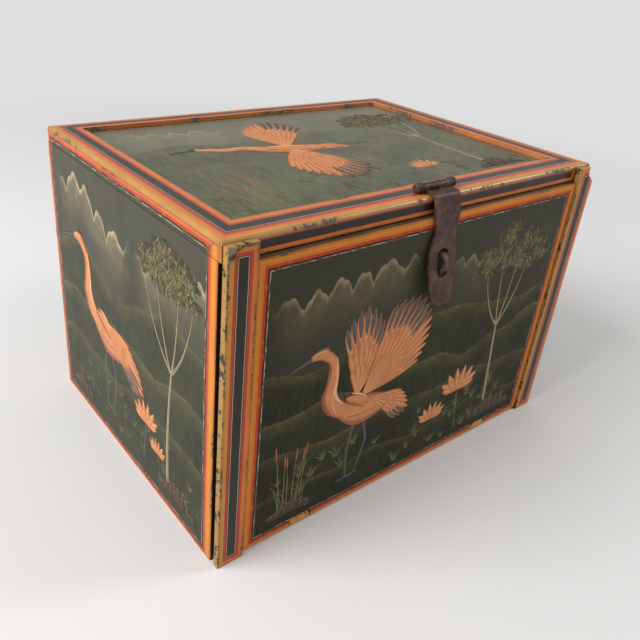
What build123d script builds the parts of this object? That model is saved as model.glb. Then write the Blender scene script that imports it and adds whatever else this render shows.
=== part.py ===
from build123d import *
import os
from math import hypot

# Painted wooden apothecary box: a lid hinged at the back, a fall front hinged at its foot between
# two front stiles, an iron hasp from the lid over a staple on the front, bottle wells under the lid
# and a row of drawers over open compartments behind the front.
# Millimetres. Origin at the middle of the underside, +Z up, the front faces -Y.

# Carcase
box_width = 372.0
box_depth = 270.0
box_height = 250.0
side_thickness = 9.0
side_setback = 7.5
back_thickness = 9.0
base_thickness = 10.0
post_width = 12.5
post_depth = 12.0
post_top_gap = 0.6
edge_round = 0.8

# Front stiles
stile_width = 21.6
stile_thickness = 5.0
stile_proud = 2.0
stile_inset = 0.5
stile_drop = 1.2
stile_break_height = 12.5
stile_break_width = 9.0

# Fall front and its pin hinges
front_thickness = 9.0
front_side_gap = 0.6
front_top_gap = 0.8
front_floor_gap = 0.2
front_pin_depth = 4.0
front_pin_height = 4.2
front_pin_radius = 1.4
front_pin_grip = 8.0
lug_radius = 4.1
lug_length = 18.0
lug_tang_length = 14.0
lug_tang_width = 12.0
lug_tang_height = 4.0
lug_gap = 1.1
lug_left_x = -110.0
lug_right_x = 104.0
swing_gap = 0.5
running_gap = 0.05

# Lid
lid_height = 13.0
lid_inset = 0.5
lid_setback = 4.5
lid_frame_thickness = 3.5
lid_frame_front = 26.0
lid_frame_side = 23.0
lid_frame_back = 17.0
lid_nose_radius = 2.6
lid_panel_thickness = 5.0
lid_apron_thickness = 8.0

# Back hinges
hinge_length = 32.0
hinge_spread = 232.0
hinge_leaf_thickness = 1.6
hinge_case_leaf_height = 20.0
hinge_lid_leaf_height = 7.0
hinge_knuckle_radius = 2.6
hinge_knuckles = 5
hinge_knuckle_gap = 0.25
hinge_face_gap = 0.3
hinge_pin_radius = 1.3
hinge_pin_head = 0.9

# Hasp, its pin and eyes, and the staple
hasp_x = -2.7
hasp_thickness = 1.8
hasp_width = 26.0
hasp_waist_width = 23.4
hasp_paddle_width = 30.0
hasp_length = 81.0
hasp_waist_drop = 19.0
hasp_paddle_drop = 47.0
hasp_pivot_depth = 14.5
hasp_barrel_radius = 3.2
hasp_lid_gap = 0.5
hasp_front_gap = 1.6
hasp_setback = 2.6
hasp_lean = 10.9
hasp_slot_width = 11.0
hasp_slot_height = 22.0
hasp_slot_drop = 49.0
hasp_pin_radius = 1.4
hasp_pin_head_radius = 3.5
hasp_pin_head_length = 2.6
hasp_side_gap = 0.4
eye_wire_radius = 1.1
eye_wire_pitch = 1.8
eye_clinch = 3.0
staple_width = 5.0
staple_thickness = 2.2
staple_height = 16.0
staple_reach = 10.0
staple_clinch = 6.0

# Fittings inside
shelf_thickness = 5.0
well_shelf_share = 0.64
drawer_shelf_share = 0.41
well_divider_share = 0.82
well_front_thickness = 6.0
well_front_drop = 5.0
divider_thickness = 4.0
lap_gap = 0.1
well_columns = 4
well_rows = 3
drawer_count = 3
partition_thickness = 5.0
drawer_gap = 0.6
drawer_recess = 6.0
drawer_front_thickness = 8.0
drawer_wall = 5.0
drawer_bottom_thickness = 3.0
drawer_wall_drop = 4.0
drawer_back_gap = 5.0
knob_radius = 5.5
knob_neck_radius = 2.6
knob_length = 10.0
knob_tenon_radius = 2.0

# Nails
nail_radius = 0.9
nail_head_radius = 1.9
nail_head_thickness = 0.7
nail_bite = 10.0
leaf_nail_radius = 0.8
leaf_nail_head_radius = 1.7
leaf_nail_head_height = 0.6
leaf_nail_bite = 6.0

# Places worked out from the sizes above
x_out = box_width / 2
x_in = x_out - side_thickness
y_front = -box_depth / 2
y_back = box_depth / 2
y_back_in = y_back - back_thickness
z_split = box_height - lid_height
well_shelf_top = well_shelf_share * z_split
drawer_shelf_top = drawer_shelf_share * z_split
divider_top = well_shelf_top + well_divider_share * (z_split - well_shelf_top)
side_front_y = y_front + side_setback
stile_front_y = y_front - stile_proud
stile_back_y = stile_front_y + stile_thickness
stile_outer_x = x_out - stile_inset
stile_inner_x = stile_outer_x - stile_width
stile_top = box_height - stile_drop
front_half = stile_inner_x - front_side_gap
front_back_y = y_front + front_thickness
front_top = z_split - front_top_gap
front_pin_y = y_front + front_pin_depth
front_corner_reach = hypot(front_thickness - front_pin_depth, front_pin_height - front_floor_gap)
base_front_y = front_pin_y + front_corner_reach + swing_gap
fittings_y = stile_back_y + post_depth
lid_half = x_out - lid_inset
lid_front_y = y_front + lid_setback
lid_frame_z = box_height - lid_frame_thickness
lid_panel_z = lid_frame_z - lid_panel_thickness
hinge_y = y_back + hinge_face_gap + hinge_knuckle_radius
hasp_y = y_front + hasp_pivot_depth
hasp_z = box_height + hasp_lid_gap + hasp_barrel_radius
staple_z = hasp_z - hasp_slot_drop - hasp_barrel_radius - hasp_lid_gap

os.makedirs("parts", exist_ok=True)


def save(builder, name):
    """Label a finished piece with its name and write it."""
    builder.part.label = name
    export_step(builder.part, f"parts/{name}.step")


def span(low, high):
    """Size and middle of a stretch, for boxes set by their faces."""
    return high - low, (low + high) / 2


def board(x0, x1, y0, y1, z0, z1, mode=Mode.ADD):
    """A board given by its six faces."""
    length, x = span(x0, x1)
    width, y = span(y0, y1)
    height, z = span(z0, z1)
    with Locations((x, y, z)):
        Box(length, width, height, mode=mode)


def spread(low, high, count):
    """Middles of count equal shares of a stretch."""
    share = (high - low) / count
    return [low + share * (i + 0.5) for i in range(count)]


def nail(places, length, mode=Mode.ADD):
    """Flush nails whose heads lie in the given planes and whose shanks run against their normals."""
    with Locations(*places):
        Cylinder(nail_head_radius, nail_head_thickness, mode=mode,
                 align=(Align.CENTER, Align.CENTER, Align.MAX))
        Cylinder(nail_radius, length, mode=mode, align=(Align.CENTER, Align.CENTER, Align.MAX))


def leaf_nail(places, mode=Mode.ADD):
    """Round-headed nails through a hinge leaf, their heads standing on the given planes."""
    with Locations(*places):
        Cylinder(leaf_nail_head_radius, leaf_nail_head_height, mode=mode,
                 align=(Align.CENTER, Align.CENTER, Align.MIN))
        Cylinder(leaf_nail_radius, hinge_leaf_thickness + leaf_nail_bite, mode=mode,
                 align=(Align.CENTER, Align.CENTER, Align.MAX))


# Nail places, shared by the nails and by the boards they pass through
side_nail_length = side_thickness + nail_bite
back_nail_length = back_thickness + nail_bite
stile_nail_length = stile_thickness + nail_bite
side_nails = {
    side: [Plane(origin=(side * x_out, y, base_thickness / 2), z_dir=(side, 0, 0))
           for y in spread(base_front_y, y_back_in, 4)]
    for side in (-1, 1)
}
back_nails = [
    Plane(origin=(x, y_back, base_thickness / 2), z_dir=(0, 1, 0)) for x in spread(-x_in, x_in, 5)
]
stile_nails = {
    side: [Plane(origin=(side * (x_in - post_width / 2), stile_front_y, z), z_dir=(0, -1, 0))
           for z in spread(base_thickness, z_split, 4)]
    for side in (-1, 1)
}



def leaf_nail_planes(height):
    """Places of the nails of a left and a right hinge leaf, on the leaves' outer faces."""
    return {
        side: [Plane(origin=(side * hinge_spread / 2 + dx, y_back + hinge_leaf_thickness, height),
                     z_dir=(0, 1, 0)) for dx in (-hinge_length / 3, 0, hinge_length / 3)]
        for side in (-1, 1)
    }


case_leaf_nails = leaf_nail_planes(z_split - hinge_case_leaf_height * 0.62)
lid_leaf_nails = leaf_nail_planes(
    z_split + hinge_face_gap + hinge_knuckle_radius + hinge_lid_leaf_height / 2)

# Lugs of the front's hinges: a round eye before the base board's edge, with a tang let into it
lug_places = {"left": lug_left_x, "right": lug_right_x}


def lug_tang(x, start_y, mode=Mode.ADD):
    """The flat tang of a lug, running back into the base board."""
    board(x - lug_tang_width / 2, x + lug_tang_width / 2, start_y, base_front_y + lug_tang_length,
          front_pin_height - lug_tang_height / 2, front_pin_height + lug_tang_height / 2, mode)


# Base board between the sides, with mortises for the lugs' tangs
with BuildPart() as base_board:
    board(-x_in, x_in, base_front_y, y_back_in, 0, base_thickness)
    for x in lug_places.values():
        lug_tang(x, base_front_y, Mode.SUBTRACT)
    nail(side_nails[-1] + side_nails[1], side_nail_length, Mode.SUBTRACT)
    nail(back_nails, back_nail_length, Mode.SUBTRACT)
save(base_board, "base_board")

# Side boards, their front edges set back behind the stiles
for side, name in ((-1, "left_side"), (1, "right_side")):
    with BuildPart() as side_board:
        board(min(side * x_in, side * x_out), max(side * x_in, side * x_out), side_front_y, y_back,
              0, z_split)
        outer = side_board.faces().sort_by(Axis.X)[0 if side < 0 else -1]
        fillet(outer.edges().filter_by(Axis.Z).sort_by(Axis.Y)[0], edge_round)
        nail(side_nails[side], side_nail_length, Mode.SUBTRACT)
    save(side_board, name)

# Back board between the sides
with BuildPart() as back_board:
    board(-x_in, x_in, y_back_in, y_back, 0, z_split)
    nail(back_nails, back_nail_length, Mode.SUBTRACT)
    leaf_nail(case_leaf_nails[-1] + case_leaf_nails[1], Mode.SUBTRACT)
save(back_board, "back_board")

# Corner posts that carry the stiles clear of the side boards' edges
for side, name in ((-1, "left_post"), (1, "right_post")):
    with BuildPart() as post:
        inner = side * (x_in - post_width)
        board(min(inner, side * x_in), max(inner, side * x_in), stile_back_y,
              stile_back_y + post_depth, base_thickness, z_split - post_top_gap)
        nail(stile_nails[side], stile_nail_length, Mode.SUBTRACT)
    save(post, name)

# Stiles, standing in front of the lid's edge as well; the right one has lost its top outer corner
for side, name in ((-1, "left_stile"), (1, "right_stile")):
    with BuildPart() as stile:
        board(min(side * stile_inner_x, side * stile_outer_x),
              max(side * stile_inner_x, side * stile_outer_x), stile_front_y, stile_back_y,
              0, stile_top)
        if side > 0:
            with BuildSketch(Plane.XZ.offset(-stile_back_y)):
                with BuildLine():
                    Polyline(
                        (stile_outer_x + 1, stile_top - stile_break_height),
                        (stile_outer_x - 2.2, stile_top - stile_break_height + 0.6),
                        (stile_outer_x - 3.4, stile_top - stile_break_height + 2.8),
                        (stile_outer_x - stile_break_width + 2, stile_top - stile_break_height + 5),
                        (stile_outer_x - stile_break_width, stile_top - 3),
                        (stile_outer_x - stile_break_width + 1, stile_top + 1),
                        (stile_outer_x + 1, stile_top + 1),
                        close=True,
                    )
                make_face()
            extrude(amount=stile_thickness, mode=Mode.SUBTRACT)
        front_face = stile.faces().sort_by(Axis.Y)[0]
        fillet(front_face.edges(), edge_round)
        nail(stile_nails[side], stile_nail_length, Mode.SUBTRACT)
    save(stile, name)

# Nails of the carcase and of the stiles
with BuildPart() as carcase_nails:
    nail(side_nails[-1] + side_nails[1], side_nail_length)
    nail(back_nails, back_nail_length)
save(carcase_nails, "carcase_nails")

with BuildPart() as stile_nail_group:
    nail(stile_nails[-1] + stile_nails[1], stile_nail_length)
save(stile_nail_group, "stile_nails")

# Front hinge lugs
for name, x in lug_places.items():
    with BuildPart() as lug:
        with Locations(Plane(origin=(x, front_pin_y, front_pin_height), z_dir=(1, 0, 0))):
            Cylinder(lug_radius, lug_length)
        lug_tang(x, front_pin_y)
        with Locations(Plane(origin=(x, front_pin_y, front_pin_height), z_dir=(1, 0, 0))):
            Cylinder(front_pin_radius + running_gap, lug_length, mode=Mode.SUBTRACT)
    save(lug, f"front_hinge_lug_{name}")


def front_pin_span(x):
    """Ends of a hinge pin, driven in from the near edge of the front to just past its lug."""
    side = 1 if x > 0 else -1
    near = side * front_half
    far = x - side * (lug_length / 2 + front_pin_grip)
    return min(near, far), max(near, far)


def front_pin(x, radius, mode=Mode.ADD):
    """The hinge pin, or with a larger radius the bore that it lies in."""
    length, middle = span(*front_pin_span(x))
    with Locations(Plane(origin=(middle, front_pin_y, front_pin_height), z_dir=(1, 0, 0))):
        Cylinder(radius, length, mode=mode)


for name, x in lug_places.items():
    with BuildPart() as pin:
        front_pin(x, front_pin_radius)
    save(pin, f"front_hinge_pin_{name}")


def staple_leg_heights():
    """Heights of the middles of the staple's two legs."""
    half = (staple_height - staple_thickness) / 2
    return staple_z + half, staple_z - half


# Fall front: notched round the lugs, its foot rounded to turn on the pins
with BuildPart() as front_board:
    board(-front_half, front_half, y_front, front_back_y, front_floor_gap, front_top)
    foot = front_board.edges().filter_by(Axis.X).group_by(Axis.Z)[0].sort_by(Axis.Y)[0]
    fillet(foot, min(front_pin_depth, front_pin_height) - front_floor_gap)
    top_edges = front_board.faces().sort_by(Axis.Y)[0].edges().sort_by(Axis.Z)
    fillet(top_edges[-1], edge_round)
    for x in lug_places.values():
        board(x - lug_length / 2 - lug_gap, x + lug_length / 2 + lug_gap, y_front, front_back_y,
              front_floor_gap, front_pin_height + lug_radius + lug_gap, Mode.SUBTRACT)
        front_pin(x, front_pin_radius + running_gap, Mode.SUBTRACT)
    for z in staple_leg_heights():
        board(hasp_x - staple_width / 2, hasp_x + staple_width / 2, y_front, front_back_y,
              z - staple_thickness / 2, z + staple_thickness / 2, Mode.SUBTRACT)
save(front_board, "front_board")

# Staple: a flat iron loop through the front board, clinched inside
with BuildPart() as staple:
    clinch_y = front_back_y + staple_thickness / 2
    tip_y = y_front - staple_reach + staple_thickness / 2
    upper, lower = staple_leg_heights()
    with BuildSketch(Plane.YZ.offset(hasp_x)):
        with BuildLine():
            FilletPolyline(
                (clinch_y, upper + staple_clinch),
                (clinch_y, upper),
                (tip_y, upper),
                (tip_y, lower),
                (clinch_y, lower),
                (clinch_y, lower - staple_clinch),
                radius=[staple_thickness * 0.7, (upper - lower) * 0.49, (upper - lower) * 0.49,
                        staple_thickness * 0.7],
            )
        trace(line_width=staple_thickness)
    extrude(amount=staple_width / 2, both=True)
    board(hasp_x - staple_width, hasp_x + staple_width, y_front, front_back_y,
          upper + staple_thickness / 2, upper + staple_height, Mode.SUBTRACT)
    board(hasp_x - staple_width, hasp_x + staple_width, y_front, front_back_y,
          lower - staple_height, lower - staple_thickness / 2, Mode.SUBTRACT)
save(staple, "staple")

# Shelves across the box
for name, top in (("well_shelf", well_shelf_top), ("drawer_shelf", drawer_shelf_top)):
    with BuildPart() as shelf:
        board(-x_in, x_in, fittings_y, y_back_in, top - shelf_thickness, top)
    save(shelf, name)

# Front board of the bottle wells
well_back_y = fittings_y + well_front_thickness
with BuildPart() as well_front:
    board(-x_in, x_in, fittings_y, well_back_y, well_shelf_top, z_split - well_front_drop)
    fillet(well_front.edges().filter_by(Axis.X).group_by(Axis.Z)[-1], edge_round)
save(well_front, "well_front")

# Dividers of the bottle wells, halved over each other
well_x = [-x_in + 2 * x_in * i / well_columns for i in range(1, well_columns)]
well_y = [well_back_y + (y_back_in - well_back_y) * i / well_rows for i in range(1, well_rows)]
lap_z = (well_shelf_top + divider_top) / 2
lap_half = divider_thickness / 2 + lap_gap
for i, y in enumerate(well_y, 1):
    with BuildPart() as long_divider:
        board(-x_in, x_in, y - divider_thickness / 2, y + divider_thickness / 2, well_shelf_top,
              divider_top)
        for x in well_x:
            board(x - lap_half, x + lap_half, y - divider_thickness, y + divider_thickness, lap_z,
                  divider_top + 1, Mode.SUBTRACT)
    save(long_divider, f"well_long_divider_{i}")
for i, x in enumerate(well_x, 1):
    with BuildPart() as cross_divider:
        board(x - divider_thickness / 2, x + divider_thickness / 2, well_back_y, y_back_in,
              well_shelf_top, divider_top)
        for y in well_y:
            board(x - divider_thickness, x + divider_thickness, y - lap_half, y + lap_half,
                  well_shelf_top - 1, lap_z, Mode.SUBTRACT)
    save(cross_divider, f"well_cross_divider_{i}")

# Guides that keep the outer drawers clear of the posts and stiles
for side, name in ((-1, "left_drawer_guide"), (1, "right_drawer_guide")):
    with BuildPart() as guide:
        board(min(side * front_half, side * x_in), max(side * front_half, side * x_in), fittings_y,
              y_back_in, drawer_shelf_top, well_shelf_top - shelf_thickness)
    save(guide, name)

# Partitions between the drawers, and between the open compartments under them
bay = (2 * front_half - (drawer_count - 1) * partition_thickness) / drawer_count
for i in range(1, drawer_count):
    left = -front_half + i * bay + (i - 1) * partition_thickness
    with BuildPart() as drawer_partition:
        board(left, left + partition_thickness, fittings_y, y_back_in, drawer_shelf_top,
              well_shelf_top - shelf_thickness)
    save(drawer_partition, f"drawer_partition_{i}")
    with BuildPart() as lower_partition:
        board(left, left + partition_thickness, fittings_y, y_back_in, base_thickness,
              drawer_shelf_top - shelf_thickness)
    save(lower_partition, f"lower_partition_{i}")

# Drawers: a tray of four boards, a front and a turned knob
drawer_y = fittings_y + drawer_recess
drawer_z = drawer_shelf_top + drawer_gap / 2
drawer_top = well_shelf_top - shelf_thickness - drawer_gap
tray_y = drawer_y + drawer_front_thickness
tray_back_y = y_back_in - drawer_back_gap
wall_top = drawer_top - drawer_wall_drop
knob_z = (drawer_z + drawer_top) / 2
for i in range(drawer_count):
    low_x = -front_half + i * (bay + partition_thickness) + drawer_gap
    high_x = low_x + bay - 2 * drawer_gap
    with BuildPart() as drawer_tray:
        floor_z = drawer_z + drawer_bottom_thickness
        board(low_x, high_x, tray_y, tray_back_y, drawer_z, floor_z)
    tray_walls = [
        (low_x, low_x + drawer_wall, tray_y, tray_back_y),
        (high_x - drawer_wall, high_x, tray_y, tray_back_y),
        (low_x + drawer_wall, high_x - drawer_wall, tray_back_y - drawer_wall, tray_back_y),
    ]
    wall_parts = []
    for x0, x1, y0, y1 in tray_walls:
        with BuildPart() as wall:
            board(x0, x1, y0, y1, floor_z, wall_top)
        wall_parts.append(wall.part.solid())
    tray = Compound(label=f"drawer_{i + 1}_tray", children=[drawer_tray.part.solid(), *wall_parts])
    export_step(tray, f"parts/drawer_{i + 1}_tray.step")

    knob_x = (low_x + high_x) / 2
    with BuildPart() as drawer_front:
        board(low_x, high_x, drawer_y, tray_y, drawer_z, drawer_top)
        fillet(drawer_front.faces().sort_by(Axis.Y)[0].edges(), edge_round)
        with Locations(Plane(origin=(knob_x, drawer_y, knob_z), z_dir=(0, -1, 0))):
            Cylinder(knob_tenon_radius, drawer_front_thickness, mode=Mode.SUBTRACT,
                     align=(Align.CENTER, Align.CENTER, Align.MAX))
    save(drawer_front, f"drawer_{i + 1}_front")

    with BuildPart() as knob:
        with BuildSketch(Plane(origin=(knob_x, drawer_y, knob_z), x_dir=(1, 0, 0), z_dir=(0, 0, 1))):
            with BuildLine():
                Polyline((0, drawer_front_thickness), (knob_tenon_radius, drawer_front_thickness),
                         (knob_tenon_radius, 0), (knob_neck_radius + 1.2, 0))
                Spline((knob_neck_radius + 1.2, 0), (knob_neck_radius, -knob_length * 0.3),
                       (knob_radius, -knob_length * 0.68), tangents=((-0.4, -1), (0, -1)))
                Spline((knob_radius, -knob_length * 0.68), (0, -knob_length),
                       tangents=((0, -1), (-1, 0)))
                Line((0, -knob_length), (0, drawer_front_thickness))
            make_face()
        revolve(axis=Axis((knob_x, drawer_y, knob_z), (0, 1, 0)))
    save(knob, f"drawer_{i + 1}_knob")

# Places of the hasp's eyes along its pin
eye_width = eye_wire_pitch + 2 * eye_wire_radius
eye_offset = hasp_width / 2 + hasp_side_gap + eye_width / 2
eye_places = {"left": hasp_x - eye_offset, "right": hasp_x + eye_offset}
eye_ring_radius = hasp_pin_radius + running_gap + eye_wire_radius
eye_bottom_z = lid_panel_z - 2 * eye_wire_radius


def eye_legs(x, mode=Mode.ADD):
    """The two legs of an eye, side by side, from its ring down through the lid."""
    height, middle = span(eye_bottom_z, hasp_z - eye_ring_radius)
    with Locations((x - eye_wire_pitch / 2, hasp_y, middle), (x + eye_wire_pitch / 2, hasp_y, middle)):
        Cylinder(eye_wire_radius, height, mode=mode)


# Lid aprons: the side ones run through, the front and back ones stand between them
apron_inner = lid_half - lid_apron_thickness
for side, name in ((-1, "lid_apron_left"), (1, "lid_apron_right")):
    with BuildPart() as apron:
        board(min(side * apron_inner, side * lid_half), max(side * apron_inner, side * lid_half),
              lid_front_y, y_back, z_split, lid_frame_z)
        outer = apron.faces().sort_by(Axis.X)[0 if side < 0 else -1]
        fillet(outer.edges().filter_by(Axis.Z).sort_by(Axis.Y)[0], edge_round)
    save(apron, name)
with BuildPart() as lid_apron_front:
    board(-apron_inner, apron_inner, lid_front_y, lid_front_y + lid_apron_thickness, z_split,
          lid_frame_z)
save(lid_apron_front, "lid_apron_front")

with BuildPart() as lid_apron_back:
    board(-apron_inner, apron_inner, y_back - lid_apron_thickness, y_back, z_split, lid_frame_z)
    leaf_nail(lid_leaf_nails[-1] + lid_leaf_nails[1], Mode.SUBTRACT)
save(lid_apron_back, "lid_apron_back")

# Lid panel inside the aprons, under the frame
with BuildPart() as lid_panel:
    board(-apron_inner, apron_inner, lid_front_y + lid_apron_thickness,
          y_back - lid_apron_thickness, lid_panel_z, lid_frame_z)
    for x in eye_places.values():
        eye_legs(x, Mode.SUBTRACT)
save(lid_panel, "lid_panel")

# Mitred frame on top of the lid, with a rounded nose
outer_corners = [(-lid_half, lid_front_y), (lid_half, lid_front_y), (lid_half, y_back),
                 (-lid_half, y_back)]
inner_x = lid_half - lid_frame_side
inner_corners = [(-inner_x, lid_front_y + lid_frame_front), (inner_x, lid_front_y + lid_frame_front),
                 (inner_x, y_back - lid_frame_back), (-inner_x, y_back - lid_frame_back)]
frame_sides = (("front", Axis.Y, 0), ("right", Axis.X, -1), ("back", Axis.Y, -1), ("left", Axis.X, 0))
for i, (where, axis, pick) in enumerate(frame_sides):
    following = (i + 1) % 4
    with BuildPart() as frame_member:
        with BuildSketch(Plane.XY.offset(lid_frame_z)):
            with BuildLine():
                Polyline(outer_corners[i], outer_corners[following], inner_corners[following],
                         inner_corners[i], close=True)
            make_face()
        extrude(amount=lid_frame_thickness)
        nose = frame_member.faces().sort_by(axis)[pick].edges().sort_by(Axis.Z)[-1]
        fillet(nose, lid_nose_radius)
        if where == "front":
            for x in eye_places.values():
                eye_legs(x, Mode.SUBTRACT)
    save(frame_member, f"lid_frame_{where}")

# Hasp eyes: two turns of wire round the pin, two legs through the lid, clinched under it
for name, x in eye_places.items():
    with BuildPart() as eye:
        for dx in (-eye_wire_pitch / 2, eye_wire_pitch / 2):
            with Locations(Plane(origin=(x + dx, hasp_y, hasp_z), z_dir=(1, 0, 0))):
                Torus(eye_ring_radius, eye_wire_radius)
        eye_legs(x)
        with Locations((x, hasp_y + eye_clinch / 2, eye_bottom_z + eye_wire_radius)):
            Box(eye_width, eye_clinch + 2 * eye_wire_radius, 2 * eye_wire_radius)
        with Locations(Plane(origin=(x, hasp_y, hasp_z), z_dir=(1, 0, 0))):
            Cylinder(hasp_pin_radius + running_gap, 2 * eye_width, mode=Mode.SUBTRACT)
    save(eye, f"hasp_eye_{name}")

# Hasp pin with hammered round heads
pin_half = eye_offset + eye_width / 2 + hasp_side_gap
with BuildPart() as hasp_pin:
    with Locations(Plane(origin=(hasp_x, hasp_y, hasp_z), z_dir=(1, 0, 0))):
        Cylinder(hasp_pin_radius, 2 * pin_half)
    for side in (-1, 1):
        with Locations(Plane(origin=(hasp_x + side * pin_half, hasp_y, hasp_z), z_dir=(side, 0, 0))):
            Cylinder(hasp_pin_head_radius, hasp_pin_head_length,
                     align=(Align.CENTER, Align.CENTER, Align.MIN))
        head = hasp_pin.faces().sort_by(Axis.X)[0 if side < 0 else -1]
        fillet(head.edges(), hasp_pin_head_length * 0.7)
save(hasp_pin, "hasp_pin")

# Hasp: rolled barrel, a short arm over the lid's edge, then a strap with a slotted paddle
arm_z = box_height + hasp_lid_gap + hasp_thickness / 2
foot_z = box_height + hasp_lid_gap - hasp_length
with BuildPart() as hasp:
    with BuildSketch(Plane.YZ.offset(hasp_x)):
        with BuildLine():
            FilletPolyline(
                (hasp_y, arm_z),
                (lid_front_y - hasp_setback, arm_z),
                (y_front - hasp_front_gap, front_top),
                (y_front - hasp_front_gap - 0.6, staple_z + 13),
                (y_front - hasp_lean * 0.7, staple_z - 20),
                (y_front - hasp_lean, foot_z),
                radius=[3.0, 12.0, 40.0, 40.0],
            )
        trace(line_width=hasp_thickness)
    extrude(amount=hasp_paddle_width / 2, both=True)
    with BuildSketch(Plane.XZ.offset(-hasp_y - hasp_barrel_radius)):
        with BuildLine():
            for side in (-1, 1):
                Line((hasp_x + side * hasp_width / 2, box_height + hasp_width),
                     (hasp_x + side * hasp_width / 2, box_height - hasp_waist_drop + 6))
                Spline(
                    (hasp_x + side * hasp_width / 2, box_height - hasp_waist_drop + 6),
                    (hasp_x + side * hasp_waist_width / 2, box_height - hasp_waist_drop),
                    (hasp_x + side * hasp_paddle_width / 2, box_height - hasp_paddle_drop),
                    (hasp_x + side * hasp_paddle_width * 0.42, foot_z + 12),
                    (hasp_x, foot_z),
                    tangents=((0, -1), (-side, 0)),
                )
            Line((hasp_x - hasp_width / 2, box_height + hasp_width),
                 (hasp_x + hasp_width / 2, box_height + hasp_width))
        make_face()
        with Locations((hasp_x, staple_z)):
            SlotOverall(hasp_slot_height, hasp_slot_width, rotation=90, mode=Mode.SUBTRACT)
    extrude(amount=4 * hasp_pivot_depth, mode=Mode.INTERSECT)
    with Locations(Plane(origin=(hasp_x, hasp_y, hasp_z), z_dir=(1, 0, 0))):
        Cylinder(hasp_barrel_radius, hasp_width)
        Cylinder(hasp_pin_radius + running_gap, hasp_width, mode=Mode.SUBTRACT)
save(hasp, "hasp")

# Back hinges: case leaf, lid leaf, pin and nails
knuckle_share = hinge_length / hinge_knuckles


def hinge_leaf(middle, upward, turns):
    """A leaf on the back face, above or below the pin, with the knuckles of the given turns."""
    direction = 1 if upward else -1
    height = hinge_lid_leaf_height if upward else hinge_case_leaf_height
    edge = z_split + direction * (hinge_face_gap + hinge_knuckle_radius)
    far = edge + direction * height
    board(middle - hinge_length / 2, middle + hinge_length / 2, y_back,
          y_back + hinge_leaf_thickness, min(edge, far), max(edge, far))
    for turn in turns:
        x = middle - hinge_length / 2 + (turn + 0.5) * knuckle_share
        half = knuckle_share / 2 - hinge_knuckle_gap / 2
        board(x - half, x + half, y_back, y_back + hinge_leaf_thickness, min(edge, z_split),
              max(edge, z_split))
        with Locations(Plane(origin=(x, hinge_y, z_split), z_dir=(1, 0, 0))):
            Cylinder(hinge_knuckle_radius, 2 * half)
    with Locations(Plane(origin=(middle, hinge_y, z_split), z_dir=(1, 0, 0))):
        Cylinder(hinge_pin_radius + running_gap, hinge_length, mode=Mode.SUBTRACT)


for side, where in ((-1, "left"), (1, "right")):
    middle = side * hinge_spread / 2
    with BuildPart() as case_leaf:
        hinge_leaf(middle, False, range(0, hinge_knuckles, 2))
        leaf_nail(case_leaf_nails[side], Mode.SUBTRACT)
    save(case_leaf, f"case_hinge_leaf_{where}")
    with BuildPart() as lid_leaf:
        hinge_leaf(middle, True, range(1, hinge_knuckles, 2))
        leaf_nail(lid_leaf_nails[side], Mode.SUBTRACT)
    save(lid_leaf, f"lid_hinge_leaf_{where}")

with BuildPart() as back_hinge_pins:
    for side in (-1, 1):
        with Locations(Plane(origin=(side * hinge_spread / 2, hinge_y, z_split), z_dir=(1, 0, 0))):
            Cylinder(hinge_pin_radius, hinge_length + 2 * hinge_pin_head)
save(back_hinge_pins, "back_hinge_pins")

with BuildPart() as case_hinge_nails:
    leaf_nail(case_leaf_nails[-1] + case_leaf_nails[1])
save(case_hinge_nails, "case_hinge_nails")

with BuildPart() as lid_hinge_nails:
    leaf_nail(lid_leaf_nails[-1] + lid_leaf_nails[1])
save(lid_hinge_nails, "lid_hinge_nails")
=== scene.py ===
"""Dresses a painted apothecary box: landscapes, striped borders, worn boards and forged iron."""

import logging
import math
import random
from collections.abc import Iterable
from dataclasses import dataclass, field
from enum import Enum
from functools import cache, cached_property

import bmesh
import bpy
from mathutils import Matrix, Vector


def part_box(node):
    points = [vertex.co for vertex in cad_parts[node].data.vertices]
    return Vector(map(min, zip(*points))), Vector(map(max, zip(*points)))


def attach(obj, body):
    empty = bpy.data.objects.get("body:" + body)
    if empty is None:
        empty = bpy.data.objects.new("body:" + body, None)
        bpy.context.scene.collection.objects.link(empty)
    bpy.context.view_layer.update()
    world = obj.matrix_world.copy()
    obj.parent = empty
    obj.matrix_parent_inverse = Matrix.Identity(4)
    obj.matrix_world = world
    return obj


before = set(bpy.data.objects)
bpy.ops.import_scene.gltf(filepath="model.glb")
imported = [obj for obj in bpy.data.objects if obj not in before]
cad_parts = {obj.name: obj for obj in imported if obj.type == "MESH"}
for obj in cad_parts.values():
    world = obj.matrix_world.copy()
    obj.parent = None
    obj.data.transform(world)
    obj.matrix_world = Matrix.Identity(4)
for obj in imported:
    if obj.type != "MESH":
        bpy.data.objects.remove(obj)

LOG = logging.getLogger("apothecary_box")
MM = 0.001

Triple = tuple[float, float, float]
Colour = Triple
Point = tuple[float, float]
Stripes = tuple[tuple[float, Colour], ...]
Socket = bpy.types.NodeSocket
Paint = Socket | Colour


@dataclass(frozen=True)
class Palette:
    """The painter's colours, as linear red, green and blue."""

    orange: Colour = (0.60, 0.165, 0.020)
    amber: Colour = (0.60, 0.225, 0.026)
    yellow: Colour = (0.54, 0.255, 0.034)
    red: Colour = (0.46, 0.040, 0.014)
    black: Colour = (0.017, 0.013, 0.009)
    pale: Colour = (0.40, 0.32, 0.19)
    ground: Colour = (0.012, 0.012, 0.005)
    meadow: Colour = (0.030, 0.033, 0.011)
    hill: Colour = (0.125, 0.108, 0.034)
    sky: Colour = (0.040, 0.039, 0.024)
    cloud: Colour = (0.46, 0.36, 0.19)
    chipped: Colour = (0.155, 0.115, 0.060)
    grime: Colour = (0.034, 0.028, 0.016)
    # painted shade: a near-black that stands in for the shadow in the gap between an end board and its stile
    gap: Colour = (0.014, 0.009, 0.006)


PAINTS = Palette()


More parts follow.
